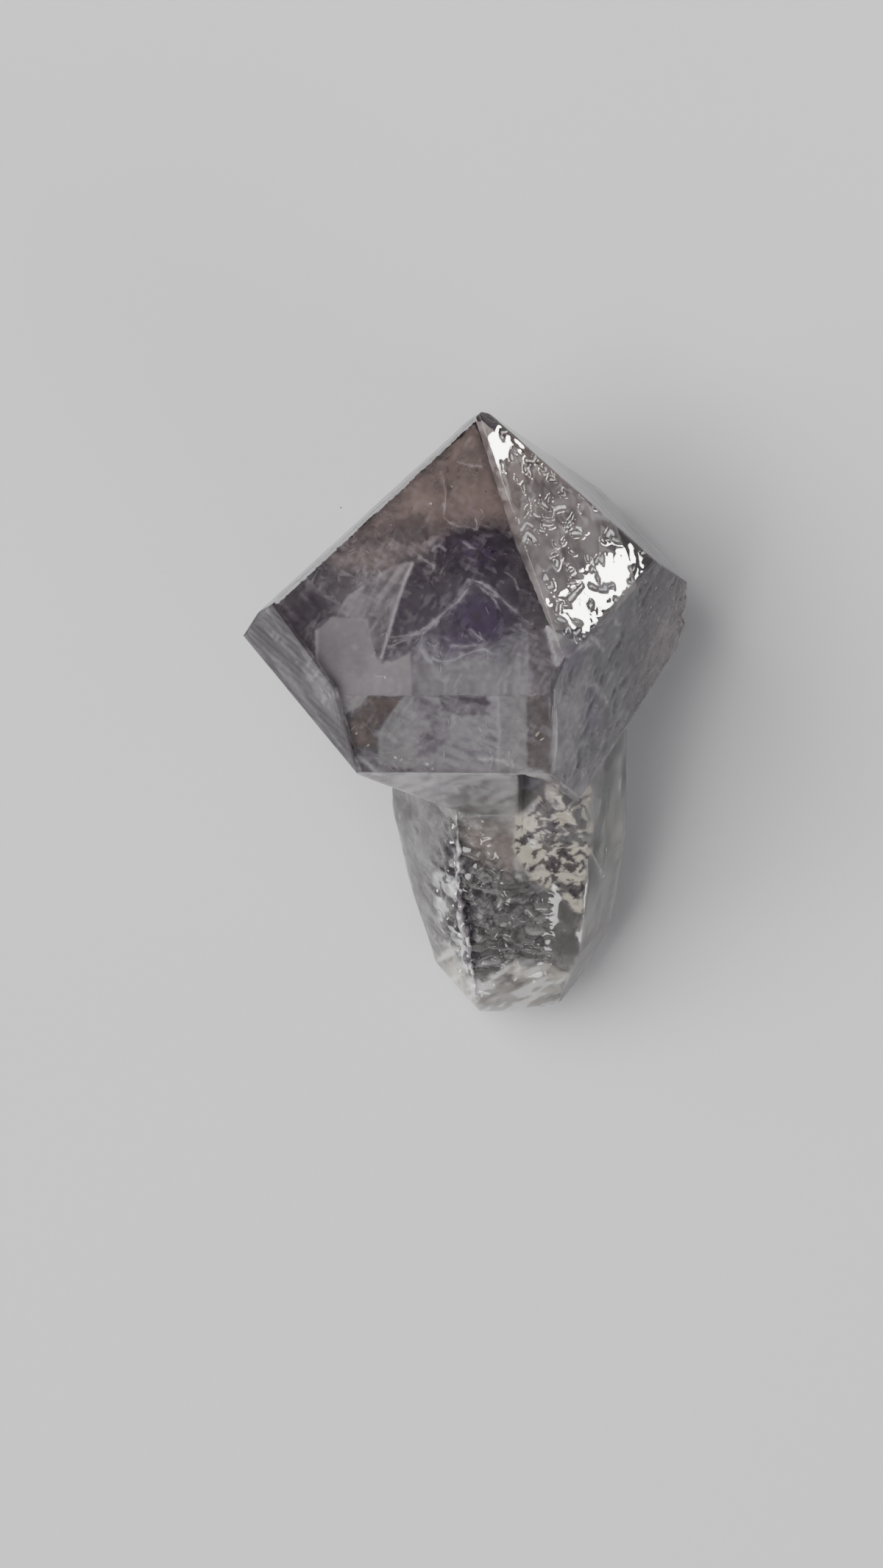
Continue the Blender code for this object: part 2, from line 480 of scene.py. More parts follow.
def bubblyRelief(place, at):
    # the stem's front: a dark etched band down its middle, and low domes over the bubbles
    etched = smooth(-13.6, -14.6, place[:, 2]) * smooth(-23.5, -21.5, place[:, 2])
    band = np.exp(-(((place[:, 0] - surface["etchedAt"]) / 0.6) ** 2)) * etched
    near, gap, tone = bubblesAt(place)
    fine = noiseOf(place * np.array([1.0, 1.0, 0.6]), 4.2, 22.0)
    bubbly = patchOf(at, stemZones["bubbly"], 0.35)
    shape = near ** 2 * -1.0 - 0.25 * (1 - smooth(0.0, 0.12, gap)) - 0.5 * tone
    pits = surface["pitDepth"] * band * (1 - smooth(0.0, 0.35, gap))
    dome = surface["bubbleRise"] * bubbly * shape
    return dome - pits + 0.010 * fine * (0.3 + etched) + 0.04 * noiseOf(place, 0.9, 23.0) - 0.03


def relief(kind, place, at, depth, rng):
    # height (mm) of the natural relief at places of the crystal, depth mm inside the face's edge
    calm = smooth(0.0, 0.18, depth)
    if kind == "front":
        steps = smooth(-0.04, 0.04, noiseOf(place, 0.55, 3.0)) * 0.004
        return calm * (0.004 * noiseOf(place, 0.9, 1.0) + 0.0012 * noiseOf(place, 4.0, 2.0) + steps)
    if kind == "right":
        swell = 0.0015 * noiseOf(place, 0.7, 5.0) + 0.0006 * noiseOf(place, 5.0, 6.0)
        return smooth(0.0, 0.06, depth) * (swell + hillocks(place, rng))
    if kind in ("prism", "stemRight"):
        return prismRelief(place, at, calm)
    if kind == "striated":
        return striatedRelief(place, calm)
    if kind in ("stemFront", "stemLeft"):
        return bubblyRelief(place, at)
    if kind == "shoulder":
        return -surface["roughDepth"] * (1.0 - 0.45 * ridgesOf(place, 1.3, 30.0)) * smooth(0.0, 0.25, depth)
    if kind == "brokenEnd":
        return 0.10 * noiseOf(place, 1.1, 40.0) + 0.05 * noiseOf(place, 3.1, 41.0) - 0.06
    if kind == "under":
        swell = 0.05 * noiseOf(place, 1.2, 50.0) + 0.02 * noiseOf(place, 3.6, 51.0)
        return smooth(0.0, 0.3, depth) * swell
    if kind == "stemBack":
        rows = noiseOf(place * np.array([0.3, 0.3, 3.4]), 1.0, 63.0)
        few = smooth(0.0, 0.2, noiseOf(place, 0.6, 65.0))
        chips = smooth(0.12, 0.32, noiseOf(place, 1.9, 64.0)) * few
        return 0.04 * noiseOf(place, 1.4, 60.0) + 0.014 * rows - 0.05 * chips - 0.02
    if kind == "side":
        rows = noiseOf(place * np.array([1.0, 1.0, 0.2]), 2.6, 62.0)
        return calm * (0.010 * noiseOf(place, 0.9, 61.0) + 0.008 * rows)
    return np.zeros(len(place))


def soften(points, triangles, share, rounds=2):
    # evens out the points by their share, from 0 for sharp faces to 1 for worn ones
    pairs = np.concatenate([triangles[:, [0, 1]], triangles[:, [1, 2]], triangles[:, [2, 0]]])
    pairs = np.concatenate([pairs, pairs[:, ::-1]])
    count = np.maximum(np.bincount(pairs[:, 0], minlength=len(points))[:, None], 1)
    for _ in range(rounds):
        around = [np.bincount(pairs[:, 0], points[pairs[:, 1], axis], len(points)) for axis in range(3)]
        points = points + (np.stack(around, axis=1) / count - points) * share[:, None]
    return points


def sinkShoulder(points, faces, at):
    # the shoulder rises gently out of the stem's front
    stemFaces = [(ids, normal) for ids, _, kind, normal in faces if kind == "stemFront"]
    planes = [(normal, float((points[ids] @ normal).mean())) for ids, normal in stemFaces]
    over = np.stack([points @ normal - offset for normal, offset in planes], axis=1)
    nearest = np.array([normal for normal, _ in planes])[over.argmax(axis=1)]
    over = np.maximum(over.max(axis=1), 0.0)
    across, up = surface["shoulderRise"]
    sunk = over * (1 - smooth(*across, at[:, 0]) * smooth(*up, at[:, 1]))
    onShoulder = np.zeros(len(points))
    for ids, _, kind, _ in faces:
        if kind == "shoulder":
            onShoulder[ids] = 1.0
    return points - nearest * (sunk * onShoulder)[:, None]


def shapeSurface(points, triangles, faces):
    # moves every point along its faces' normals by the relief and the edge wear
    rng = np.random.default_rng(surface["seed"] + 1)
    inCrystal = (points - originMm) @ np.array(lieTurn)
    at = frontView(points)
    count = len(points)
    push = np.zeros_like(points)
    share, frost, worn, step = (np.zeros(count) for _ in range(4))
    quiet = np.maximum.reduce([smooth(0.4, 0.8, strokeOf(at, line, 0.2)) for line in surface["quietEdges"]])
    for ids, depth, kind, normal in faces:
        wear = surface["edgeWear"] * (1.0 - smooth(0.0, surface["rim"], depth)) * (1 - quiet[ids])
        height = relief(kind, inCrystal[ids], at[ids], depth, rng)
        np.add.at(push, ids, (height - wear)[:, None] * normal)
        np.add.at(share, ids, 1.0)
        np.add.at(frost, ids, surface["frost"].get(kind, 0.0))
        if kind in surface["worn"]:
            worn[ids] = surface["wornShare"]
    for line, width in stemSteps:
        step = np.maximum(step, smooth(0.25, 0.6, strokeOf(at, line, width)))
    for ids, _, kind, _ in faces:
        if kind not in surface["worn"]:
            worn[ids] = 0.0
        if kind not in ("shoulder", "stemFront", "stemRight"):
            step[ids] = 0.0
    share = np.maximum(share, 1)
    moved = sinkShoulder(points, faces, at) + push / share[:, None]
    moved = soften(moved, triangles, worn)
    moved = soften(moved, triangles, step * 0.9, surface["stepSoftening"])
    low, high = (np.array(corner) / mm for corner in cadBounds)
    return np.clip(moved, low, high), frost / share, inCrystal


glass = {
    "ior": 1.544,
    "absorb": (0.61, 0.58, 0.585, 1.0),
    "density": 230.0,
    "roughest": 0.5,  # roughness where the surface is fully matt
    "tipTint": (0.98, 0.91, 0.87),
    "headTint": (0.95, 0.93, 0.935),
    "stemTint": (0.945, 0.945, 0.92),
    "tipFade": (-4.2, -1.8),  # heights (mm) between which the tip's tint comes in
    "stemFade": (-12.0, -14.5),
}


def outerCrystal():
    points, triangles, faces = buildSurface()
    shaped, frost, inCrystal = shapeSurface(points, triangles, faces)
    obj = numpyPiece("crystal_surface", shaped, triangles)
    keepValues(obj.data, "frost", frost)
    warm = smooth(*glass["tipFade"], inCrystal[:, 2])[:, None]
    stem = smooth(*glass["stemFade"], inCrystal[:, 2])[:, None]
    tint = np.array(glass["tipTint"]) * warm + np.array(glass["headTint"]) * (1 - warm)
    keepTint(obj.data, tint * (1 - stem) + np.array(glass["stemTint"]) * stem)
    obj.data.shade_smooth()
    obj.data.set_sharp_from_angle(angle=math.radians(surface["shadeSharpFrom"]))
    print("outer surface:", len(obj.data.polygons), "triangles")
    return obj, shaped, triangles, faces, inCrystal


def newMaterial(name):
    mat = bpy.data.materials.new(name)
    mat.use_nodes = True
    return mat, mat.node_tree, mat.node_tree.nodes["Principled BSDF"]


def setInputs(node, values):
    for name, value in values.items():
        node.inputs[name].default_value = value
    return node


def attributeInto(tree, name, output, socket):
    # feeds one of the mesh's own attributes into a socket
    node = tree.nodes.new("ShaderNodeAttribute")
    node.attribute_name = name
    tree.links.new(node.outputs[output], socket)


def absorbing(tree, color, density):
    # what the inside of a see-through piece takes from the light
    absorb = setInputs(tree.nodes.new("ShaderNodeVolumeAbsorption"), {"Color": color, "Density": density})
    tree.links.new(absorb.outputs["Volume"], tree.nodes["Material Output"].inputs["Volume"])


def quartzMaterial():
    mat, tree, shader = newMaterial("quartz")
    setInputs(shader, {"Transmission Weight": 1.0, "IOR": glass["ior"]})
    rough = setInputs(tree.nodes.new("ShaderNodeMapRange"), {"To Min": 0.0, "To Max": glass["roughest"]})
    attributeInto(tree, "tint", "Color", shader.inputs["Base Color"])
    attributeInto(tree, "frost", "Fac", rough.inputs["Value"])
    tree.links.new(rough.outputs["Result"], shader.inputs["Roughness"])
    absorbing(tree, glass["absorb"], glass["density"])
    return mat


def seal(piece, material):
    # one of the crystal's own pieces: gets its material, if it has one, and moves with it
    if material:
        piece.data.materials.append(material)
    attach(piece, "root")


crystal, shaped, surfaceTris, surfaceFaces, inCrystal = outerCrystal()
seal(crystal, quartzMaterial())
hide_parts("scepter_crystal")
print("quartz done")

# The faces of the head by the way they look: azimuth and rise.
headFaces = {
    "front": (1.3, 38.2), "right": (61.3, 38.2), "rightBack": (121.3, 38.2), "back": (-178.7, 38.2),
    "left": (-128.6, 28.9), "leftStrip": (-118.7, 38.2), "prismFront": (1.3, 0.0), "prismRight": (61.3, 0.0),
    "prismBack": (121.3, 0.0), "striated": (-47.0, -10.3), "underFront": (1.3, -36.0),
    "underLeft": (-67.5, -37.0), "underLower": (-46.7, -48.8), "underRight": (73.3, -35.7),
    "underRightBack": (121.3, -36.0), "underBack": (-178.7, -38.0), "underLeftBack": (-118.7, -36.0),
}


def planeOf(azimuth, rise):
    # the head's face that looks this way: its normal and its distance from the frame's origin, mm
    wanted = crystalDirection(azimuth, rise)
    bm = flatFaces(cadNode)
    face = max(bm.faces, key=lambda f: (round(f.normal.dot(wanted), 3), f.calc_area()))
    normal = np.array(face.normal)
    offset = float(normal @ np.array(face.verts[0].co)) / mm
    bm.free()
    return normal, offset


headPlanes = {name: planeOf(*way) for name, way in headFaces.items()}


def sealedIn(points, margin):
    # whether points (mm) are at least this far inside every face of the head
    return np.all([points @ normal < offset - margin for normal, offset in headPlanes.values()], axis=0)


def onPlane(face, at, inset):
    # places of the front view on the plane that lies this far under a face, mm
    normal, offset = headPlanes[face]
    base = originMm + at[..., :1] * rightWay + at[..., 1:] * downWay
    lift = (offset - inset - base @ normal) / float(outWay @ normal)
    return base + lift[..., None] * outWay


veils = {
    "step": 0.05,  # mm between a painted veil's points
    "jitter": 0.2,  # of the step
    "margin": 0.05,  # mm that a veil stays inside the faces
    "faintest": 0.012,  # what is fainter is left out
}
veilColors = {
    "lavender": (0.475, 0.46, 0.485),
    "pale": (0.55, 0.53, 0.53),
    "white": (0.92, 0.91, 0.93),
    "grey": (0.46, 0.465, 0.455),
    "warm": (0.56, 0.47, 0.44),
    "brown": (0.20, 0.17, 0.155),
    "smoke": (0.095, 0.08, 0.095),
    "violet": (0.135, 0.095, 0.18),
    "cream": (0.74, 0.69, 0.60),
}


def paint(layers):
    # lays the layers over each other: each is (colour name, opacity at every point)
    count = len(layers[0][1])
    color = np.zeros((count, 3))
    cover = np.zeros(count)
    for name, opacity in layers:
        over = np.clip(opacity, 0.0, 1.0)
        total = over + cover * (1 - over)
        share = np.where(total > 1e-6, over / np.maximum(total, 1e-6), 0.0)[:, None]
        color = color * (1 - share) + np.array(veilColors[name]) * share
        cover = total
    return color, cover


def grainOf(at, points, seed, strength=1.0):
    # fine cloudy grain and short wisps that every veil has
    grit = mottle(points, 0.13, seed, 2)
    lean = smooth(0.45, 0.60, cloud(points, 0.8, seed + 1, 2))
    wisps = along(at, 120.0, 0.10, seed + 2, 3.5) * lean + along(at, 25.0, 0.10, seed + 3, 3.5) * (1 - lean)
    broken = smooth(0.42, 0.62, cloud(points, 0.42, seed + 4, 2))
    return [
        ("smoke", grit * 0.20 * strength),
        ("white", (1 - grit) * 0.07 * strength),
        ("white", smooth(0.62, 0.95, wisps) * broken * 0.20 * strength),
        ("smoke", smooth(0.62, 0.95, 1 - wisps) * broken * 0.26 * strength),
    ]


def sheet(face, inset, ring, painter, seed):
    # a painted veil parallel to a face, this far under it; the ring is as the front view sees it
    ring = np.array(ring)
    at = gridOver(ring, veils["step"], np.random.default_rng(seed), veils["jitter"])
    at = at[inside(at, ring)[0]]
    points = onPlane(face, at, inset)
    sealed = sealedIn(points, veils["margin"])
    at, points = at[sealed], points[sealed]
    _, _, tris, _, _, _ = geometry.delaunay_2d_cdt([Vector(p) for p in at], [], [], 0, 1e-6)
    tris = np.array([t for t in tris if len(t) == 3])
    side = np.linalg.norm(at[tris] - at[np.roll(tris, 1, axis=1)], axis=2).max(axis=1)
    color, cover = paint(painter(at, points))
    tris = tris[(side < veils["step"] * 3) & (cover[tris].max(axis=1) > veils["faintest"])]
    return points, tris, color, cover


def joinSheets(name, sheets):
    points, tris, colors, covers = [], [], [], []
    count = 0
    for place, triangles, color, cover in sheets:
        used, inverse = np.unique(triangles, return_inverse=True)
        points.append(place[used])
        colors.append(color[used])
        covers.append(cover[used])
        tris.append(inverse.reshape(triangles.shape) + count)
        count += len(used)
    piece = numpyPiece(name, np.concatenate(points), np.concatenate(tris))
    keepTint(piece.data, np.concatenate(colors))
    keepValues(piece.data, "veil", np.concatenate(covers))
    piece.data.shade_smooth()
    seal(piece, veilFinish)
    print(name + ":", len(piece.data.polygons), "triangles")


def veilMaterial():
    mat, tree, shader = newMaterial("veil")
    setInputs(shader, {"Roughness": 0.7, "Specular IOR Level": 0.0})
    attributeInto(tree, "tint", "Color", shader.inputs["Base Color"])
    attributeInto(tree, "veil", "Fac", shader.inputs["Alpha"])
    return mat


veilFinish = veilMaterial()

featherLines = [  # places in the front view, each line with its girth
    (1.8, [
        (-2.59, 6.73), (-2.25, 6.71), (-1.96, 6.66), (-1.55, 6.59), (-1.24, 6.3), (-0.92, 5.96),
        (-0.52, 5.65), (-0.2, 5.24), (-0.16, 4.97),
    ]),
    (1.5, [(-2.54, 6.86), (-2.09, 6.77), (-1.78, 6.61), (-1.37, 6.37), (-1.01, 6.1)]),
    (1.3, [(-2.63, 7.04), (-2.25, 6.86), (-1.91, 6.77)]),
    (1.4, [(-0.16, 4.95), (0.29, 5.11), (0.65, 5.38), (1.01, 5.74), (1.37, 6.05), (1.67, 6.37)]),
    (1.0, [(0.07, 5.13), (0.34, 5.33), (0.61, 5.6), (0.79, 5.92)]),
    (1.6, [(-0.16, 6.48), (0.07, 6.68), (0.34, 6.86)]),
    (1.1, [(-0.7, 6.97), (-0.34, 7.02), (0.2, 6.95)]),
    (1.1, [(-0.47, 7.33), (-0.07, 7.18), (0.29, 7.09), (0.54, 7.25)]),
    (1.2, [(-1.6, 6.68), (-1.64, 7.04), (-1.42, 7.29), (-1.08, 7.47), (-0.7, 7.49), (-0.43, 7.31)]),
    (1.2, [(-1.78, 6.95), (-1.53, 7.27), (-1.3, 7.54)]),
    (1.1, [(-1.73, 4.27), (-1.51, 4.39), (-1.28, 4.52), (-1.17, 4.79)]),
    (0.9, [(-1.28, 4.03), (-1.1, 3.94), (-0.92, 4.07)]),
    (0.9, [(-0.34, 3.82), (-0.16, 3.98), (0.09, 4.05)]),
    (0.6, [(-0.97, 3.06), (-0.7, 3.26), (-0.47, 3.35), (0.02, 3.4)]),
    (0.9, [(0.02, 3.1), (0.07, 3.26), (0.04, 3.46)]),
    (0.9, [(0.97, 4.77), (1.21, 4.95), (1.37, 5.29)]),
    (1.5, [(-2.99, 7.92), (-2.81, 7.94), (-2.59, 8.01)]),
    (1.0, [(-4.16, 4.84), (-4.18, 5.02)]),
    (1.0, [(-4.41, 5.33), (-4.32, 5.51)]),
    (0.8, [(-1.01, 1.64), (-0.88, 2.32), (-0.94, 2.99)]),
    (0.9, [(-0.52, 1.37), (-0.11, 1.51), (0.2, 1.46)]),
]
frontZones = {  # outlines in the front view
    "haze": [
        (-1.57, 4.16), (-1.01, 3.8), (-0.11, 3.49), (1.06, 3.62), (1.35, 4.46), (1.42, 6.37),
        (0.79, 5.92), (-0.11, 5.06), (-1.01, 6.03), (-1.91, 6.73), (-2.77, 6.77), (-2.59, 6.1),
        (-1.91, 4.91),
    ],
    "window": [
        (-1.91, 4.61), (-1.42, 4.46), (-1.19, 5.24), (-0.92, 5.58), (-1.24, 6.14), (-1.64, 6.5),
        (-2.5, 6.64), (-2.45, 6.05), (-2.18, 5.24),
    ],
    "plate": [
        (-1.87, 4.41), (-2.09, 4.97), (-2.32, 5.56), (-2.5, 6.14), (-2.68, 6.77), (-2.95, 7.45),
        (-3.15, 6.82), (-3.26, 6.25), (-4.27, 6.1), (-3.94, 5.51), (-3.26, 5.02), (-2.48, 4.52),
    ],
    "patch": [
        (-4.81, 6.5), (-4.39, 6.1), (-3.26, 6.19), (-3.15, 6.82), (-2.97, 7.42), (-2.54, 7.49),
        (-1.98, 7.22), (-1.91, 8.41), (-3.24, 8.41), (-3.55, 8.78), (-4.0, 9.0), (-4.57, 8.35),
        (-4.86, 7.83),
    ],
    "brownCell": [
        (-3.24, 8.44), (-2.11, 8.44), (-2.56, 8.96), (-2.95, 9.4), (-3.1, 9.65), (-2.97, 10.01),
        (-3.94, 9.97), (-3.98, 9.4), (-3.55, 8.8),
    ],
    "paleCell": [
        (-2.11, 8.44), (-1.87, 8.44), (-1.84, 10.69), (-2.92, 10.55), (-2.97, 9.52), (-2.59, 8.98),
    ],
    "midCell": [(-1.87, 8.44), (0.72, 8.44), (0.72, 11.03), (-1.24, 11.03), (-1.84, 10.69)],
    "darkBand": [(-1.1, 8.44), (0.38, 8.44), (0.52, 8.66), (0.22, 8.98), (-0.34, 9.07), (-1.01, 8.84)],
    "greyCell": [(0.72, 8.44), (1.62, 8.44), (1.62, 11.03), (0.72, 11.03)],
    "rightCell": [(1.62, 8.35), (2.32, 8.35), (2.32, 10.87), (1.62, 11.03)],
    "lavenderStrip": [(2.32, 7.6), (3.08, 7.49), (3.17, 9.74), (2.86, 10.55), (2.32, 10.73)],
    "vee": [(2.18, 6.37), (3.42, 6.91), (2.63, 7.65)],
    "shoulder": [
        (1.19, 11.41), (2.25, 10.91), (3.58, 11.09), (3.58, 12.89), (3.42, 14.02), (3.26, 15.19),
        (2.95, 15.14), (2.41, 14.51), (1.69, 14.15), (1.24, 13.34),
    ],
    "corner": [
        (1.24, 10.87), (2.09, 10.78), (2.41, 11.14), (1.96, 11.63), (1.73, 12.08), (1.33, 12.26),
    ],
    "lowerField": [
        (-3.26, 7.49), (-1.91, 6.95), (-0.56, 6.86), (1.01, 6.86), (1.57, 6.41), (2.81, 6.82),
        (3.04, 8.84), (-4.61, 8.84), (-3.94, 8.17),
    ],
    "farLeft": [
        (-7.76, 6.64), (-4.84, 5.24), (-4.61, 5.8), (-5.2, 6.41), (-5.2, 7.94), (-4.7, 8.62),
        (-3.85, 9.34), (-3.44, 10.19), (-3.49, 11.09), (-4.39, 11.09),
    ],
    "leftGlow": [
        (-4.61, 4.34), (-3.26, 3.33), (-1.57, 3.13), (-0.74, 3.49), (-1.01, 4.25), (-2.25, 4.93),
        (-3.71, 5.13),
    ],
    "tip": [(0.0, 0.07), (-3.94, 3.71), (-1.91, 3.26), (-0.11, 3.17), (1.24, 3.26), (0.61, 1.87)],
    "leftField": [
        (-3.94, 3.78), (-1.91, 3.33), (-1.87, 4.46), (-3.26, 5.02), (-4.27, 6.1), (-4.84, 6.48),
        (-5.06, 8.28), (-6.75, 6.37),
    ],
    "belly": [
        (-1.91, 7.27), (-1.24, 7.6), (0.11, 7.27), (1.01, 6.64), (1.62, 6.64), (1.62, 8.41),
        (-1.91, 8.41),
    ],
    "rightField": [(1.64, 5.92), (2.18, 6.37), (2.63, 7.65), (2.32, 8.41), (1.64, 8.41)],
    "rustCell": [(-4.03, 9.02), (-3.44, 9.4), (-3.26, 9.86), (-3.82, 9.97)],
    "midDark": [(-1.82, 8.5), (-0.79, 8.73), (-0.74, 9.74), (-1.24, 10.19), (-1.8, 10.24)],
    "lavenderSide": [
        (2.32, 7.6), (3.31, 7.27), (3.49, 8.39), (3.17, 9.74), (2.86, 10.55), (2.32, 10.73),
    ],
    "blueCell": [(3.17, 8.17), (3.76, 8.26), (3.76, 9.4), (3.26, 9.79), (3.04, 9.07)],
}
frontLines = {  # lines in the front view
    "patchEdge": [(-4.84, 6.55), (-4.84, 7.83), (-4.57, 8.35), (-4.0, 8.98)],
    "plateEdge": [
        (-1.91, 4.48), (-2.14, 5.02), (-2.32, 5.56), (-2.5, 6.14), (-2.68, 6.77), (-2.86, 7.36),
    ],
    "plateShade": [(-1.87, 4.84), (-2.14, 5.38), (-2.36, 6.19), (-2.59, 7.04), (-2.81, 7.49)],
    "veeEdge": [(2.21, 6.41), (2.41, 7.0), (2.65, 7.6), (3.04, 7.22), (3.42, 6.88)],
    # curls on the bumps of the right-hand face, painted white as glints
    "paintedGlintCurls": [
        [(5.29, 5.02), (5.47, 5.13), (5.54, 5.38)],
        [(5.2, 5.6), (5.38, 5.78), (5.33, 5.96)],
        [(5.42, 5.96), (5.56, 6.1), (5.47, 6.28)],
        [(5.06, 6.19), (5.2, 6.37), (5.11, 6.59)],
        [(3.49, 6.73), (3.67, 6.86), (3.78, 7.09)],
        [(3.49, 8.21), (3.62, 8.17), (3.85, 8.53), (3.94, 8.66)],
        [(4.3, 6.64), (4.43, 6.73)],
        [(4.16, 6.14), (4.34, 6.28)],
    ],
}
veilRings = {  # how far each painted veil reaches, as the front view sees it
    "front": [(0.0, 0.18), (-6.75, 6.37), (-4.95, 8.41), (2.32, 8.41), (3.26, 7.04), (1.24, 2.99)],
    "lower": [(-4.95, 8.41), (2.32, 8.41), (2.59, 9.74), (2.36, 10.87), (-3.6, 11.03), (-4.84, 9.29)],
    "right": [
        (2.18, 6.28), (5.29, 4.61), (6.3, 5.02), (6.23, 6.59), (4.61, 9.52), (3.49, 10.64),
        (2.32, 10.87), (2.32, 7.49),
    ],
    "left": [
        (-7.54, 6.37), (-6.37, 5.51), (-3.71, 8.41), (-3.15, 11.03), (-4.03, 11.21), (-7.54, 6.93),
    ],
    "hillocks": [(0.0, 0.02), (2.59, 1.98), (5.74, 4.46), (3.82, 6.37), (2.36, 6.59), (1.24, 3.89)],
    "ridge": [(0.22, 0.25), (2.59, 1.19), (4.84, 2.77), (5.85, 4.34), (5.06, 4.16), (2.59, 2.09)],
}


def frontPaint(at, points):
    # the pyramid face: warm tip, dark wedge, two milky plates, violet heart and feathery chevron
    z = frontZones
    wave = mottle(points, 0.9, 3)
    fine = mottle(points, 0.26, 4)
    streak = along(at, 125.0, 0.16, 5)
    slant = along(at, 55.0, 0.15, 8, 8.0)
    bent = bendBy(at, points, 0.5, 6, 0.35)
    feather = bendBy(at, points, 0.16, 46, 0.22)
    lower = patchOf(bent, z["lowerField"], 0.35)
    leftField = patchOf(bent, z["leftField"], 0.3)
    farLeft = patchOf(bent, z["farLeft"], 0.3)
    patch = patchOf(at, z["patch"], 0.04)
    busy = smooth(2.9, 4.0, at[:, 1])
    calm = 1 - 0.7 * np.maximum(patch, blobOf(at, (0.16, 6.19), (0.990, 0.720)))
    return [
        ("warm", patchOf(bent, z["tip"], 0.4) * (0.36 + 0.22 * wave)),
        ("smoke", leftField * (0.22 + 0.25 * wave)),
        ("grey", leftField * streak * fine * 0.22),
        ("warm", patchOf(bent, z["leftGlow"], 0.5) * (0.10 + 0.35 * wave)),
        ("smoke", farLeft * (0.50 + 0.2 * wave)),
        ("pale", farLeft * slant * 0.22),
        ("lavender", lower * (0.32 + 0.25 * wave + 0.15 * fine)),
        *grainOf(at, points, 61, 0.35 + 0.65 * busy),
        ("smoke", patchOf(bent, z["haze"], 0.3) * (0.22 + 0.25 * wave)),
        ("smoke", patchOf(bent, z["window"], 0.10) * (0.80 + 0.2 * fine)),
        ("violet", blobOf(bent, (0.07, 4.16), (1.125, 0.720), 8) * (0.25 + 0.35 * fine)),
        ("pale", patchOf(at, z["plate"], 0.05) * (0.26 + 0.48 * streak)),
        ("pale", patch * (0.58 + 0.12 * wave)),
        ("white", strokeOf(at, frontLines["patchEdge"], 0.05) * 0.6),
        ("white", strokeOf(at, frontLines["plateEdge"], 0.05) * 0.6),
        ("smoke", strokeOf(at, frontLines["plateShade"], 0.07) * 0.5),
        ("grey", patchOf(bent, z["belly"], 0.12) * (0.35 + 0.3 * wave)),
        ("violet", blobOf(bent, (0.16, 6.14), (0.855, 0.720), 30) * (0.85 + 0.4 * fine)),
        ("smoke", blobOf(bent, (0.16, 6.10), (0.585, 0.450), 30) * fine * 0.7),
        ("violet", blobOf(bent, (-0.83, 6.86), (0.540, 0.450)) * (0.2 + 0.5 * fine)),
        ("smoke", blobOf(at, (0.07, 6.10), (0.135, 0.135)) * 1.3),
        ("smoke", blobOf(bent, (-1.62, 7.60), (0.225, 0.585), -15) * 0.45),
        ("lavender", strokeOf(at, [(1.60, 6.64), (1.62, 8.41)], 0.05) * 0.5),
        ("brown", patchOf(bent, z["rightField"], 0.12) * (0.08 + 0.25 * fine)),
        *[("white", strokeOf(feather, line, 0.042 * g) * 0.30 * (0.15 + fine)) for g, line in featherLines],
        *grainOf(at, points, 81, (0.25 + 0.35 * busy) * calm),
    ]


def lowerPaint(at, points):
    # the upright face under it: brown, pale, lavender and grey cells side by side
    z = frontZones
    wave = mottle(points, 0.8, 13)
    fine = mottle(points, 0.25, 14)
    streak = along(at, 20.0, 0.16, 15, 4.0)
    bent = bendBy(at, points, 0.3, 16, 0.14)
    return [
        ("lavender", 0.34 + 0.28 * wave),
        *grainOf(at, points, 66),
        ("pale", patchOf(at, z["patch"], 0.04) * 0.5),
        ("brown", patchOf(bent, z["brownCell"], 0.04) * (0.62 + 0.4 * fine)),
        ("warm", patchOf(bent, z["rustCell"], 0.10) * 0.28),
        ("grey", patchOf(bent, z["paleCell"], 0.04) * (0.55 + 0.15 * wave)),
        ("lavender", patchOf(bent, z["midCell"], 0.05) * (0.35 + 0.5 * streak)),
        ("smoke", patchOf(bent, z["midDark"], 0.12) * (0.10 + 0.4 * fine)),
        ("smoke", patchOf(bent, z["darkBand"], 0.07) * (0.2 + 0.6 * streak)),
        ("grey", patchOf(bent, z["greyCell"], 0.04) * (0.62 + 0.1 * wave)),
        ("white", strokeOf(bent, [(0.72, 8.50), (0.74, 9.74), (0.70, 10.91)], 0.05) * 0.25),
        ("brown", patchOf(bent, z["rightCell"], 0.05) * (0.32 + 0.4 * fine)),
        ("lavender", patchOf(bent, z["lavenderStrip"], 0.08) * (0.5 + 0.2 * wave)),
        ("white", strokeOf(bent, [(0.16, 10.37), (0.52, 10.33), (1.01, 10.51), (1.51, 10.66)], 0.06) * 0.5),
        ("white", strokeOf(bent, [(-3.76, 10.15), (-3.26, 10.51), (-2.81, 10.93)], 0.06) * 0.5),
        ("white", strokeOf(bent, [(-3.58, 11.00), (-1.24, 11.00)], 0.05) * 0.5),
        ("pale", smooth(10.1, 10.9, bent[:, 1]) * 0.4 * fine),
        *grainOf(at, points, 86, 0.5),
    ]


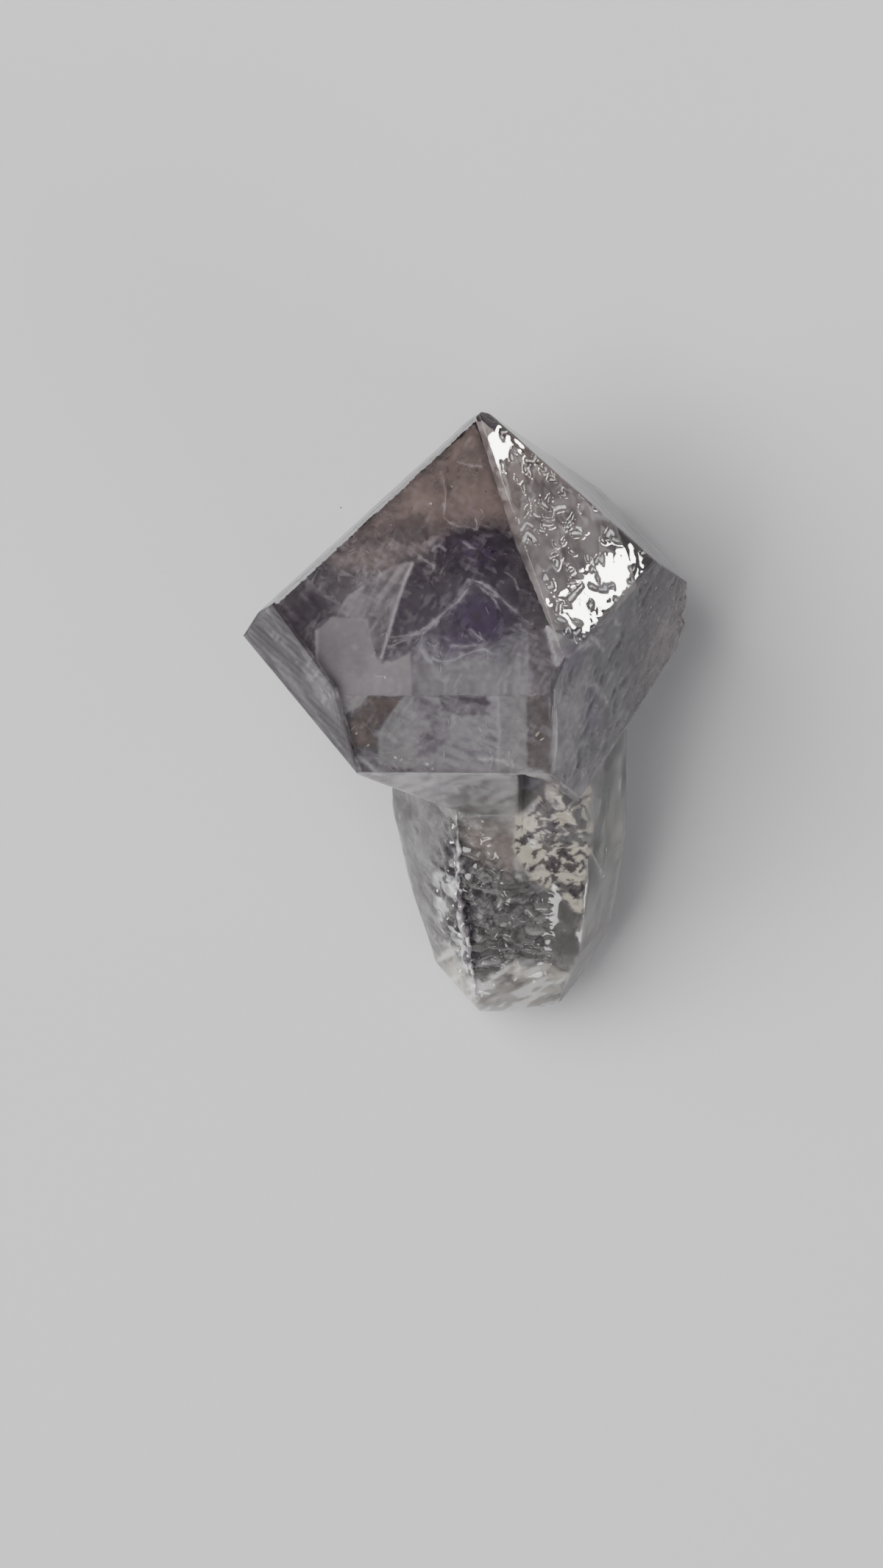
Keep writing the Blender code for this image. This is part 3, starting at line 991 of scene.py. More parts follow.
def rightPaint(at, points):
    # the right-hand upright face: grey mottle, a milky triangle with a violet tip, and white curls painted as
    # glints
    z = frontZones
    wave = mottle(points, 0.9, 23)
    fine = mottle(points, 0.22, 24)
    streak = along(at, 75.0, 0.18, 25)
    bent = bendBy(at, points, 0.4, 26, 0.2)
    return [
        ("grey", 0.20 + 0.35 * wave),
        ("smoke", 0.20 + 0.50 * fine * (1 - wave)),
        ("smoke", blobOf(bent, (5.02, 6.77), (0.945, 0.585), -50) * 0.4),
        ("pale", patchOf(bent, z["lavenderSide"], 0.15) * (0.40 + 0.45 * streak)),
        ("violet", patchOf(bent, z["blueCell"], 0.12) * 0.65),
        ("pale", patchOf(at, z["vee"], 0.04) * (0.60 + 0.35 * streak)),
        ("white", strokeOf(at, frontLines["veeEdge"], 0.045) * 0.5),
        ("violet", blobOf(bent, (2.99, 7.42), (0.247, 0.450), 15) * 0.95),
        ("warm", blobOf(bent, (5.85, 7.04), (0.495, 1.350), 25) * 0.35),
        # painted glints: white curls over the bumps
        *[("white", strokeOf(bent, curl, 0.075) * 0.75 * (0.35 + fine)) for curl in frontLines["paintedGlintCurls"]],
        *grainOf(at, points, 71),
    ]


def hillockPaint(_, points):
    # milky skin under the right-hand face, with pockets that stay dark
    wave = mottle(points, 0.7, 73)
    fine = mottle(points, 0.20, 74)
    return [
        ("pale", 0.42 + 0.30 * wave),
        ("warm", 0.14 + 0.2 * fine),
        ("smoke", (1 - wave) * fine * 0.45),
        ("white", worms(points, 0.42, 75) * 0.30),
        ("smoke", worms(points, 0.46, 77) * 0.30),
    ]


def leftPaint(at, points):
    # the striated side: dark, with pale streaks along it
    fine = mottle(points, 0.3, 43)
    streak = along(at, 55.0, 0.17, 45, 9.0)
    return [
        ("smoke", 0.62 + 0.2 * fine),
        ("lavender", 0.14 + 0.2 * fine),
        ("pale", streak * 0.36),
        ("smoke", (1 - streak) * 0.68),
        *grainOf(at, points, 91),
    ]


def ridgePaint(at, points):
    # the narrow face behind the right-hand edge: warm with brown streaks
    fine = mottle(points, 0.3, 53)
    streak = along(at, 38.0, 0.15, 55, 8.0)
    return [
        ("warm", 0.35 + 0.2 * fine),
        ("brown", streak * 0.8),
        ("pale", (1 - streak) * 0.3),
    ]


joinSheets("front_veil", [sheet("front", 0.9, veilRings["front"], frontPaint, 1)])
joinSheets("side_veils", [
    sheet("prismFront", 0.35, veilRings["lower"], lowerPaint, 2),
    sheet("prismRight", 0.22, veilRings["right"], rightPaint, 3),
    sheet("striated", 0.14, veilRings["left"], leftPaint, 4),
    sheet("right", 0.22, veilRings["hillocks"], hillockPaint, 6),
    sheet("rightBack", 0.25, veilRings["ridge"], ridgePaint, 5),
])

skinLines = {  # lines of the front view that the skin is painted by
    "unfrosted": [(-6.75, 6.37), (-6.17, 5.74), (-4.27, 8.41), (2.59, 8.41), (2.41, 10.87)],
    "sideEdge": [(-6.17, 5.74), (-4.27, 8.41), (-3.71, 10.64)],
    "ledge": [(-1.57, 11.05), (-0.11, 11.27), (1.24, 10.87), (2.32, 10.87)],
    "vee": [(2.21, 6.41), (2.63, 7.63), (3.42, 6.88)],
    "seam": [(-0.61, 12.44), (-0.74, 13.79), (-0.43, 14.92), (-0.11, 16.04), (0.16, 17.17)],
    "rim": [(4.12, 14.58), (3.53, 16.27), (2.95, 17.50)],
    "outerRim": [(4.61, 12.22), (4.52, 13.79), (4.23, 14.98), (3.82, 16.27), (3.13, 17.50)],
}
skin = {
    "depth": 0.04,  # mm under the natural surface
    "faintest": 0.03,  # what is fainter is left out
    "crispKinds": ("front", "right", "side", "prism", "striated", "stemRight"),
    "crispEdge": 0.045,  # mm, how far in the frosting of an edge reaches on these
    "softEdge": 0.11,  # and on all the others
}


def smoothNormals(points, triangles):
    corners = points[triangles]
    flat = np.cross(corners[:, 1] - corners[:, 0], corners[:, 2] - corners[:, 0])
    normals = np.zeros_like(points)
    for i in range(3):
        np.add.at(normals, triangles[:, i], flat)
    return normals / np.maximum(np.linalg.norm(normals, axis=1, keepdims=True), 1e-9)


def skinGround(normals):
    # what the skin's layers are made from, at every point of the surface
    masks = {kind: np.zeros(len(shaped)) for kind in surface["spacing"]}
    edge, tops = np.zeros(len(shaped)), np.zeros(len(shaped))
    flatPlace = inCrystal @ np.array(lieTurn).T + originMm
    for ids, depth, kind, normal in surfaceFaces:
        masks[kind][ids] = 1.0
        reach = skin["crispEdge"] if kind in skin["crispKinds"] else skin["softEdge"]
        edge[ids] = np.maximum(edge[ids], np.exp(-((depth / reach) ** 2)))
        if kind == "right":
            tops[ids] = smooth(0.012, 0.026, (shaped - flatPlace)[ids] @ normal)
    at = frontView(shaped)
    front = np.maximum(masks["stemFront"], masks["shoulder"])
    onePlane = np.concatenate([at, np.zeros((len(at), 1))], axis=1)
    return SimpleNamespace(
        at=at,
        bent=bendBy(at, inCrystal, 0.5, 36, 0.4),
        masks=masks,
        edge=edge,
        hillockTops=tops,
        facing=smooth(0.05, 0.2, normals @ outWay),
        head=np.maximum.reduce([masks[kind] for kind in ("front", "right", "side", "prism", "striated")]),
        stem=front,
        stemAround=np.maximum(front, masks["stemLeft"]),
        clear=np.maximum(masks["stemRight"], masks["shoulder"] * smooth(3.4, 3.6, at[:, 0])),
        wave=mottle(inCrystal, 1.1, 31),
        fine=mottle(inCrystal, 0.30, 32),
        wisps=mottle(onePlane, 0.30, 41) * (0.4 + 0.6 * along(at, -20.0, 0.16, 44, 3.0)),
        rows=smooth(0.45, 0.70, cloud(inCrystal * np.array([0.3, 0.3, 3.0]), 0.8, 63)),
        threads=smooth(0.62, 0.85, cloud(inCrystal * np.array([1.6, 1.6, 0.35]), 0.45, 65)),
    )


def headSkin(g):
    # frosted edges, the smoky striated side, the etched right side and the wisps under the head
    side = np.maximum(g.masks["front"], g.masks["striated"])
    streaks = along(g.at, 52.0, 0.15, 58, 9.0)
    far = side * patchOf(g.at, frontZones["farLeft"], 0.25)
    plain = strokeOf(g.at, skinLines["unfrosted"], 0.25)
    etched = g.masks["prism"] * smooth(2.3, 2.7, g.at[:, 0])
    low = np.maximum(g.masks["under"], g.masks["prism"]) * g.facing * strokeOf(g.at, skinLines["ledge"], 0.30)
    return [
        ("white", g.edge * (0.06 + 0.40 * g.fine) * (1 - 0.55 * g.head) * (1 - plain)),
        ("smoke", far * (0.28 + 0.45 * streaks)),
        ("pale", far * (1 - streaks) * 0.12),
        ("smoke", strokeOf(g.at, skinLines["sideEdge"], 0.13) * side * 0.5),
        ("smoke", etched * (0.12 + 0.55 * g.wave * g.fine)),
        ("pale", g.masks["under"] * (0.25 + 0.75 * g.wisps)),
        ("pale", low * smooth(0.30, 0.65, g.wisps) * 0.55),
    ]


def backSkin(g):
    # the stem's back with its rows and threads, and the grain along its clearer right side
    back = g.masks["stemBack"]
    clots = mottle(inCrystal, 0.8, 64)
    lengthwise = along(g.at, 103.0, 0.20, 66, 5.0)
    return [
        ("pale", back * (0.22 + 0.55 * clots * g.fine)),
        ("smoke", back * (1 - clots) * (0.15 + 0.40 * g.fine)),
        ("white", back * g.rows * clots * 0.40),
        ("white", back * g.threads * 0.40),
        ("white", g.masks["brokenEnd"] * (0.40 + 0.4 * g.fine)),
        ("grey", g.clear * (0.40 + 0.25 * lengthwise)),
        ("smoke", g.clear * (1 - lengthwise) * (0.18 + 0.45 * g.fine)),
        ("pale", g.clear * smooth(0.45, 0.9, lengthwise) * g.fine * 0.55),
        ("white", g.clear * g.threads * g.rows * 0.5),
    ]


def faceSkin(g):
    # the milky vee with its violet tip, a warm patch beside it and the tops of the hillocks
    shown = g.facing * g.head
    return [
        ("pale", shown * patchOf(g.bent, frontZones["vee"], 0.04) * (0.45 + 0.4 * g.fine)),
        ("white", shown * strokeOf(g.bent, skinLines["vee"], 0.05) * 0.35),
        ("violet", shown * blobOf(g.bent, (3.01, 7.40), (0.247, 0.450), 15) * 0.9),
        ("warm", shown * blobOf(g.bent, (5.85, 6.86), (0.360, 1.170), 25) * 0.35),
        ("white", g.hillockTops * (0.70 + 0.3 * g.fine)),
    ]


def stemSkin(g):
    # the stem's front and left: grit, etched bubbles with painted highlights on their tops and painted shade
    # in the cracks between them, a band of painted glints, and a dark seam with painted shade in its cracks
    near, gap, tone = bubblesAt(inCrystal)
    crackShade = 1 - smooth(0.02, 0.16, gap)
    grit = mottle(inCrystal, 0.12, 33, 2)
    bubbly = patchOf(g.at, stemZones["bubbly"], 0.30) * g.stemAround
    paintedGlints = patchOf(g.at, stemZones["paintedGlints"], 0.12) * g.stemAround
    seam = g.stemAround * strokeOf(g.at, skinLines["seam"], 0.22)
    return [
        ("pale", g.stem * (0.20 + 0.25 * grit * g.wave)),
        ("warm", g.stem * patchOf(g.at, stemZones["smoothTop"], 0.3) * (0.22 + 0.2 * g.fine)),
        ("pale", g.masks["stemLeft"] * (0.15 + 0.25 * g.fine)),
        # painted highlights: white on the tops of the lighter bubbles
        ("white", bubbly * smooth(0.55, 0.95, tone) * (1 - smooth(0.15, 0.5, near)) * 0.40),
        ("smoke", bubbly * smooth(0.35, 0.0, tone) * 0.35),
        # painted shade: dark in the cracks between the bubbles
        ("smoke", bubbly * crackShade * (0.25 + 0.5 * g.wave)),
        # painted glints: white over the glinting band
        ("white", paintedGlints * smooth(0.30, 0.6, tone) * (0.45 + 0.5 * g.fine)),
        # painted shade in the cracks along the seam, and its darker cells
        ("smoke", seam * np.maximum(crackShade, smooth(0.5, 0.3, tone)) * 0.95),
    ]


def endSkin(g):
    # the splintered end, the bright rims up the stem's right side and the collar under the head
    broken = patchOf(bendBy(g.at, inCrystal, 0.4, 38, 0.35), stemZones["brokenEnd"], 0.10) * g.stemAround
    splinters = along(g.at, -25.0, 0.20, 59, 4.0)
    rim = np.maximum(strokeOf(g.at, skinLines["rim"], 0.28), strokeOf(g.at, skinLines["outerRim"], 0.20))
    rim = rim * np.maximum(g.clear, g.masks["stemBack"])
    collar = patchOf(g.at, stemZones["collar"], 0.12) * np.maximum(g.stemAround, g.masks["under"])
    return [
        ("pale", broken * (0.50 + 0.3 * g.fine)),
        ("cream", broken * (0.15 + 0.35 * g.wave)),
        ("smoke", broken * smooth(0.30, 0.05, splinters) * (0.15 + 0.4 * g.fine)),
        ("white", broken * smooth(0.55, 0.80, splinters) * 0.60),
        ("pale", rim * (0.35 + 0.35 * g.fine)),
        ("pale", collar * (0.20 + 0.7 * g.wisps)),
    ]


def shoulderSkin(g):
    # the rough shoulder with two grains that cross, and the pale corner above it
    rough = np.maximum(g.masks["shoulder"], g.stem + g.masks["stemRight"])
    rough = rough * patchOf(g.bent, frontZones["shoulder"], 0.10)
    slant = along(g.bent, 28.0, 0.13, 56, 2.2)
    across = along(g.bent, -35.0, 0.11, 57, 2.0)
    hollow = blobOf(g.at, (2.52, 13.25), (0.675, 0.495), 35)
    corner = patchOf(g.at, frontZones["corner"], 0.10)
    return [
        ("pale", rough * (0.60 + 0.3 * g.fine)),
        ("cream", rough * (0.30 + 0.65 * smooth(0.30, 0.6, slant))),
        ("smoke", rough * smooth(0.68, 0.92, across + 0.30 * hollow) * 0.85),
        ("smoke", rough * smooth(0.84, 1.05, 1 - slant + 0.28 * hollow) * 0.85),
        ("pale", corner * (0.70 + 0.3 * g.fine)),
        ("smoke", corner * (1 - g.wisps) * g.fine * 0.35),
        ("white", corner * smooth(0.55, 0.85, g.wisps) * 0.5),
    ]


def frostAndPaintedLightSkin():
    # whitened, etched and iron-stained skin just under the natural surface, with painted highlights, glints
    # and shade on the stem's bubbles
    normals = smoothNormals(shaped, surfaceTris)
    ground = skinGround(normals)
    layers = []
    for part in (headSkin, backSkin, faceSkin, stemSkin, endSkin, shoulderSkin):
        layers += part(ground)
    color, cover = paint(layers)
    keep = cover[surfaceTris].max(axis=1) > skin["faintest"]
    return shaped - normals * skin["depth"], surfaceTris[keep], color, cover


joinSheets("frost_and_painted_light_skin", [frostAndPaintedLightSkin()])


def cloudyGrain():
    # cloudy noise over the object's own coordinates, brought between a least and a most cover
    tree = bpy.data.node_groups.new("cloudy_grain", "ShaderNodeTree")
    place = tree.nodes.new("ShaderNodeTexCoord")
    grain = tree.nodes.new("ShaderNodeTexNoise")
    fade = tree.nodes.new("ShaderNodeMapRange")
    given = tree.nodes.new("NodeGroupInput")
    result = tree.nodes.new("NodeGroupOutput")
    taken = {
        "Scale": grain.inputs["Scale"],
        "Detail": grain.inputs["Detail"],
        "Roughness": grain.inputs["Roughness"],
        "Low": fade.inputs["From Min"],
        "High": fade.inputs["From Max"],
        "Least": fade.inputs["To Min"],
        "Most": fade.inputs["To Max"],
    }
    for name, socket in taken.items():
        tree.interface.new_socket(name, in_out="INPUT", socket_type="NodeSocketFloat")
        tree.links.new(given.outputs[name], socket)
    tree.interface.new_socket("Cover", in_out="OUTPUT", socket_type="NodeSocketFloat")
    tree.links.new(place.outputs["Object"], grain.inputs["Vector"])
    tree.links.new(grain.outputs["Fac"], fade.inputs["Value"])
    tree.links.new(fade.outputs["Result"], result.inputs["Cover"])
    return tree


grainTree = cloudyGrain()
grains = {
    "milk": {"Detail": 5.0, "Roughness": 0.6, "Low": 0.35, "High": 0.7},
    "white": {"Scale": 2500.0, "Detail": 2.0, "Roughness": 0.5, "Low": 0.3, "High": 0.65},
}


def grainNode(tree, values):
    node = tree.nodes.new("ShaderNodeGroup")
    node.node_tree = grainTree
    return setInputs(node, values)


phantoms = {  # cloudy shells under the faces of the head
    "phantom_outer": {
        "inset": 0.45,  # mm under the faces
        "cutAt": -12.6,  # height of the crystal where it ends, mm
        "color": (0.62, 0.58, 0.68),
        "cover": (0.02, 0.22),  # least and most opacity
        "scale": 700.0,  # of the cloudy noise
        "clouds": (3.0, 7.0),  # mm below the tip: clear above the first, cloudy below the second
    },
    "phantom_middle": {
        "inset": 1.7, "cutAt": -11.6, "color": (0.52, 0.48, 0.58), "cover": (0.05, 0.45),
        "scale": 450.0, "clouds": (4.0, 7.5),
    },
    "phantom_core": {
        "inset": 3.1, "cutAt": -10.4, "color": (0.30, 0.26, 0.32), "cover": (0.25, 0.75),
        "scale": 300.0, "clouds": (4.6, 6.5),
    },
}
phantomBlock = 40  # mm, the block that the shells are cut from


def shellAt(inset, cutAt):
    # the head's own shape, this far inside it, cut off above the stem
    bm = bmesh.new()
    bmesh.ops.create_cube(bm, size=phantomBlock * mm)
    bmesh.ops.translate(bm, verts=bm.verts, vec=origin)
    cuts = [(normal, (offset - inset) * mm) for normal, offset in headPlanes.values()]
    down = -np.array(longAxis)
    cuts.append((down, float(down @ np.array(origin)) - cutAt * mm))
    for normal, offset in cuts:
        everything = bm.verts[:] + bm.edges[:] + bm.faces[:]
        on, way = Vector(normal * offset), Vector(normal)
        bmesh.ops.bisect_plane(bm, geom=everything, plane_co=on, plane_no=way, clear_outer=True)
        rim = [edge for edge in bm.edges if edge.is_boundary]
        if rim:
            bmesh.ops.holes_fill(bm, edges=rim)
    bmesh.ops.recalc_face_normals(bm, faces=bm.faces)
    bmesh.ops.triangulate(bm, faces=bm.faces)
    return bm


def milkMaterial(name, shell):
    mat, tree, shader = newMaterial(name)
    nodes, links = tree.nodes, tree.links
    least, most = shell["cover"]
    grain = grainNode(tree, {**grains["milk"], "Scale": shell["scale"], "Least": least, "Most": most})
    place = nodes.new("ShaderNodeTexCoord")
    up = nodes.new("ShaderNodeVectorMath")
    up.operation = "DOT_PRODUCT"
    up.inputs[1].default_value = longAxis
    high, low = (longAxis.dot(origin) - depth * mm for depth in shell["clouds"])
    fromLowToHigh = {"From Min": low, "From Max": high, "To Min": 1.0, "To Max": 0.0}
    zone = setInputs(nodes.new("ShaderNodeMapRange"), fromLowToHigh)
    both = nodes.new("ShaderNodeMath")
    both.operation = "MULTIPLY"
    links.new(place.outputs["Object"], up.inputs[0])
    links.new(up.outputs["Value"], zone.inputs["Value"])
    links.new(grain.outputs["Cover"], both.inputs[0])
    links.new(zone.outputs["Result"], both.inputs[1])
    links.new(both.outputs["Value"], shader.inputs["Alpha"])
    color = (*shell["color"], 1.0)
    setInputs(shader, {"Base Color": color, "Roughness": 0.8, "Specular IOR Level": 0.0})
    return mat


for name, shell in phantoms.items():
    piece = bmeshPiece(name, shellAt(shell["inset"], shell["cutAt"]))
    seal(piece, milkMaterial(name + "_milk", shell))
print("phantoms done")

violetBodies = {  # at: place in the front view; half: half sizes across, down and deep, mm
    "violet_haze": {"at": (0.11, 4.16), "deep": 2.0, "half": (1.30, 0.80, 0.8), "density": 190.0},
    "violet_haze_heart": {"at": (0.16, 4.23), "deep": 2.0, "half": (0.85, 0.55, 0.5), "density": 260.0},
    "violet_core": {"at": (0.16, 6.19), "deep": 1.9, "half": (0.90, 0.62, 0.6), "density": 800.0},
    "violet_core_heart": {"at": (0.14, 6.14), "deep": 1.9, "half": (0.55, 0.40, 0.4), "density": 1400.0},
}
violetTone = (0.50, 0.33, 0.45, 1.0)


def violetMaterial(name, density):
    mat, tree, shader = newMaterial(name)
    setInputs(shader, {"Base Color": (1.0, 1.0, 1.0, 1.0), "Roughness": 0.0})
    setInputs(shader, {"Transmission Weight": 1.0, "IOR": 1.0})
    absorbing(tree, violetTone, density)
    return mat


def violetBody(name, at, deep, half, density):
    # an uneven ball of colour that bends no light
    bm = bmesh.new()
    bmesh.ops.create_icosphere(bm, subdivisions=4, radius=1.0)
    for vert in bm.verts:
        swell = 0.28 * noise.noise(vert.co * 1.6 + Vector((density, 0, 0)))
        p = vert.co * (1.0 + swell + 0.1 * noise.noise(vert.co * 4.0))
        vert.co = spot(at[0] + p.x * half[0], at[1] + p.y * half[1], deep + p.z * half[2])
    bmesh.ops.recalc_face_normals(bm, faces=bm.faces)
    seal(bmeshPiece(name, bm, True), violetMaterial(name + "_tone", density))


for name, body in violetBodies.items():
    violetBody(name, **body)
print("violet bodies done")

strands = {
    "thickness": 0.030,  # mm, half of a strand's width
    "sides": 4,
    "seed": 5,
    "color": (0.88, 0.86, 0.90, 1.0),
    "alpha": 0.20,
    "drawnDepth": 0.72,  # mm under the front face
    "sideDepth": 0.35,  # under the other faces, of that depth
    "margin": 0.08,  # mm that a strand stays inside the faces
    "pieces": 5,  # that a scattered strand is bent from
    "sprays": [  # from, to, how far they scatter (mm), how many, length (mm), turn between strands (degrees)
        ((-1.01, 6.10), (-0.20, 5.15), 0.30, 12, 0.28, 40),
        ((0.00, 5.02), (1.51, 6.32), 0.30, 10, 0.28, 40),
        ((-1.57, 6.64), (-1.01, 7.45), 0.35, 12, 0.26, 60),
        ((-0.45, 6.59), (1.01, 7.04), 0.35, 12, 0.26, 60),
        ((-1.01, 3.35), (1.01, 3.26), 0.45, 10, 0.24, 60),
        ((-2.18, 4.70), (-3.15, 7.15), 0.50, 12, 0.28, 35),
        ((-4.61, 4.12), (-3.26, 4.12), 0.50, 6, 0.26, 60),
        ((-6.41, 6.37), (-3.94, 9.74), 0.60, 18, 0.50, 8),
        ((-3.71, 9.74), (-1.91, 10.87), 0.50, 14, 0.28, 35),
        ((-1.24, 10.42), (1.69, 10.64), 0.50, 14, 0.30, 25),
        ((-1.69, 8.73), (0.56, 9.97), 0.60, 10, 0.26, 50),
        ((-1.91, 4.46), (-1.01, 5.24), 0.40, 6, 0.26, 60),
    ],
    "uprightSpray": 9,  # the one whose strands stand across its line
}


def wanderingLine(p, angle, length, rng):
    # a strand that starts here and bends steadily, its pieces of uneven length
    pieces = strands["pieces"]
    bend = rng.normal(0, 0.5)
    line = [p]
    for _ in range(pieces):
        angle += bend / pieces
        p = p + np.array([math.cos(angle), math.sin(angle)]) * length * rng.uniform(0.5, 1.2) / pieces
        line.append(p)
    return np.array(line)


def strandLines():
    # girth, depth under the front face and line of every strand
    rng = np.random.default_rng(strands["seed"])
    lines = [(girth, strands["drawnDepth"], np.array(line)) for girth, line in featherLines]
    for i, (start, end, spread, count, length, turning) in enumerate(strands["sprays"]):
        start, end = np.array(start), np.array(end)
        way = (end - start) / np.linalg.norm(end - start)
        lean = math.pi / 2 if i == strands["uprightSpray"] else 0
        for _ in range(count):
            p = start + (end - start) * rng.random() + rng.normal(0, spread * 0.5, 2)
            angle = math.atan2(way[1], way[0]) + math.radians(rng.normal(0, turning)) + lean
            line = wanderingLine(p, angle, length, rng)
            lines.append((rng.uniform(0.4, 0.95), rng.uniform(0.45, 0.85), line))
    return lines


def faceUnder(at):
    # the face that the front view shows at this place
    if at[1] > 8.42:
        return "prismFront"
    return "striated" if at[1] > 6.2 and at[0] < -6.72 + (at[1] - 6.2) * 0.82 else "front"


def groupOf(name, floats, ints):
    # an empty geometry tree with its named inputs, and its two end nodes
    tree = bpy.data.node_groups.new(name, "GeometryNodeTree")
    tree.interface.new_socket("Geometry", in_out="INPUT", socket_type="NodeSocketGeometry")
    for socket in floats:
        tree.interface.new_socket(socket, in_out="INPUT", socket_type="NodeSocketFloat")
    for socket in ints:
        tree.interface.new_socket(socket, in_out="INPUT", socket_type="NodeSocketInt")
    tree.interface.new_socket("Geometry", in_out="OUTPUT", socket_type="NodeSocketGeometry")
    return tree, tree.nodes.new("NodeGroupInput"), tree.nodes.new("NodeGroupOutput")


def finishTree(tree, geometrySocket, output, material):
    # makes what has been set out real, in its finish
    real = tree.nodes.new("GeometryNodeRealizeInstances")
    dress = tree.nodes.new("GeometryNodeSetMaterial")
    dress.inputs["Material"].default_value = material
    tree.links.new(geometrySocket, real.inputs["Geometry"])
    tree.links.new(real.outputs["Geometry"], dress.inputs["Geometry"])
    tree.links.new(dress.outputs["Geometry"], output.inputs["Geometry"])


def girthNode(tree):
    # the number that every point carries for its own size
    node = tree.nodes.new("GeometryNodeInputNamedAttribute")
    node.data_type = "FLOAT"
    node.inputs["Name"].default_value = "girth"
    return node.outputs["Attribute"]


def grownPiece(name, points, edges, girths, tree, values):
    # runs the tree on these points and keeps its result as a plain mesh
    start = bpy.data.meshes.new(name)
    start.from_pydata([tuple(p) for p in points], edges, [])
    keepValues(start, "girth", girths)
    obj = newPiece(name, start)
    modifier = obj.modifiers.new("tree", "NODES")
    modifier.node_group = tree
    ids = {i.name: i.identifier for i in tree.interface.items_tree if i.in_out == "INPUT"}
    for socket, value in values.items():
        modifier[ids[socket]] = value
    graph = bpy.context.evaluated_depsgraph_get()
    mesh = bpy.data.meshes.new_from_object(obj.evaluated_get(graph))
    obj.modifiers.remove(modifier)
    obj.data = mesh
    mesh.shade_smooth()
    seal(obj, None)
    print(name + ":", len(mesh.polygons), "faces")


def strandTree(material):
    # a tube along every line, as thick as its points say
    tree, given, result = groupOf("strand_tubes", ["Thickness"], ["Sides"])
    nodes, links = tree.nodes, tree.links
    curve = nodes.new("GeometryNodeMeshToCurve")
    thick = nodes.new("ShaderNodeMath")
    thick.operation = "MULTIPLY"
    radius = nodes.new("GeometryNodeSetCurveRadius")
    ring = nodes.new("GeometryNodeCurvePrimitiveCircle")
    tube = nodes.new("GeometryNodeCurveToMesh")
    tube.inputs["Fill Caps"].default_value = True
    links.new(given.outputs["Geometry"], curve.inputs["Mesh"])
    links.new(girthNode(tree), thick.inputs[0])
    links.new(given.outputs["Thickness"], thick.inputs[1])
    links.new(curve.outputs["Curve"], radius.inputs["Curve"])
    links.new(thick.outputs["Value"], radius.inputs["Radius"])
    links.new(given.outputs["Sides"], ring.inputs["Resolution"])
    links.new(radius.outputs["Curve"], tube.inputs["Curve"])
    links.new(ring.outputs["Curve"], tube.inputs["Profile Curve"])
    if "Scale" in tube.inputs:
        links.new(thick.outputs["Value"], tube.inputs["Scale"])
    finishTree(tree, tube.outputs["Mesh"], result, material)
    return tree


def whiteMaterial(name, color, alpha):
    mat, tree, shader = newMaterial(name)
    grain = grainNode(tree, {**grains["white"], "Least": alpha * 0.45, "Most": alpha})
    tree.links.new(grain.outputs["Cover"], shader.inputs["Alpha"])
    setInputs(shader, {"Base Color": color, "Roughness": 0.6})
    return mat


def makeStrands():
    verts, edges, girths = [], [], []
    for girth, inset, line in strandLines():
        shallow = inset * strands["sideDepth"]
        if not all(sealedIn(onPlane(faceUnder(at), at, shallow), strands["margin"]) for at in line):
            continue
        fine = [line[0]]
        for a, b in zip(line[:-1], line[1:]):
            fine += [a + (b - a) * 0.5, b]
        for i, at in enumerate(fine):
            face = faceUnder(at)
            if i:
                edges.append((len(verts) - 1, len(verts)))
            verts.append(onPlane(face, at, inset if face == "front" else shallow) * mm)
            girths.append(girth * math.sin(math.pi * (0.12 + 0.83 * i / (len(fine) - 1))))
    tree = strandTree(whiteMaterial("strand_white", strands["color"], strands["alpha"]))
    values = {"Thickness": strands["thickness"] * mm, "Sides": strands["sides"]}
    grownPiece("feathery_strands", verts, edges, girths, tree, values)


makeStrands()

flecks = {
    "seed": 9,
    "size": 0.045,  # mm
    "flattest": (0.7, 0.5, 0.2),  # of its size, along, across and through
    "roundest": (1.4, 0.9, 0.5),
    "alpha": 0.95,
    "frontDepth": 0.5,  # mm under the front face
    "sideDepth": 0.25,  # mm under the others
    "rightFrom": 4.5,  # mm right of the tip, where the right-hand face begins
    "drawn": {  # by colour: place in the front view and size
        "white": [
            ((-3.73, 10.19), 2.0), ((-2.43, 10.35), 2.2), ((-2.25, 10.42), 1.6), ((-1.46, 10.55), 2.4),
            ((-1.28, 10.69), 1.8), ((-3.26, 9.97), 1.2), ((1.01, 10.57), 1.6), ((-2.75, 7.96), 1.8),
            ((5.42, 5.17), 2.2), ((5.29, 5.74), 2.2), ((5.51, 6.10), 1.9),
        ],
        "cream": [
            ((-3.73, 9.45), 2.6), ((-3.62, 9.61), 1.8), ((1.93, 9.63), 2.8), ((2.07, 9.79), 1.8),
            ((-1.35, 2.65), 1.4),
        ],
        "smoke": [
            ((-4.09, 2.77), 1.0), ((0.34, 2.27), 1.1), ((1.01, 2.99), 1.1), ((-4.61, 4.27), 1.0),
            ((-0.74, 2.18), 0.9), ((-1.91, 2.77), 0.9), ((0.07, 1.64), 0.8), ((-2.81, 2.99), 0.8),
        ],
    },
    "whiteCount": 150,  # white ones in all; those that aren't drawn are scattered through the head
    "margin": 0.25,  # mm that a scattered one stays inside the faces
}


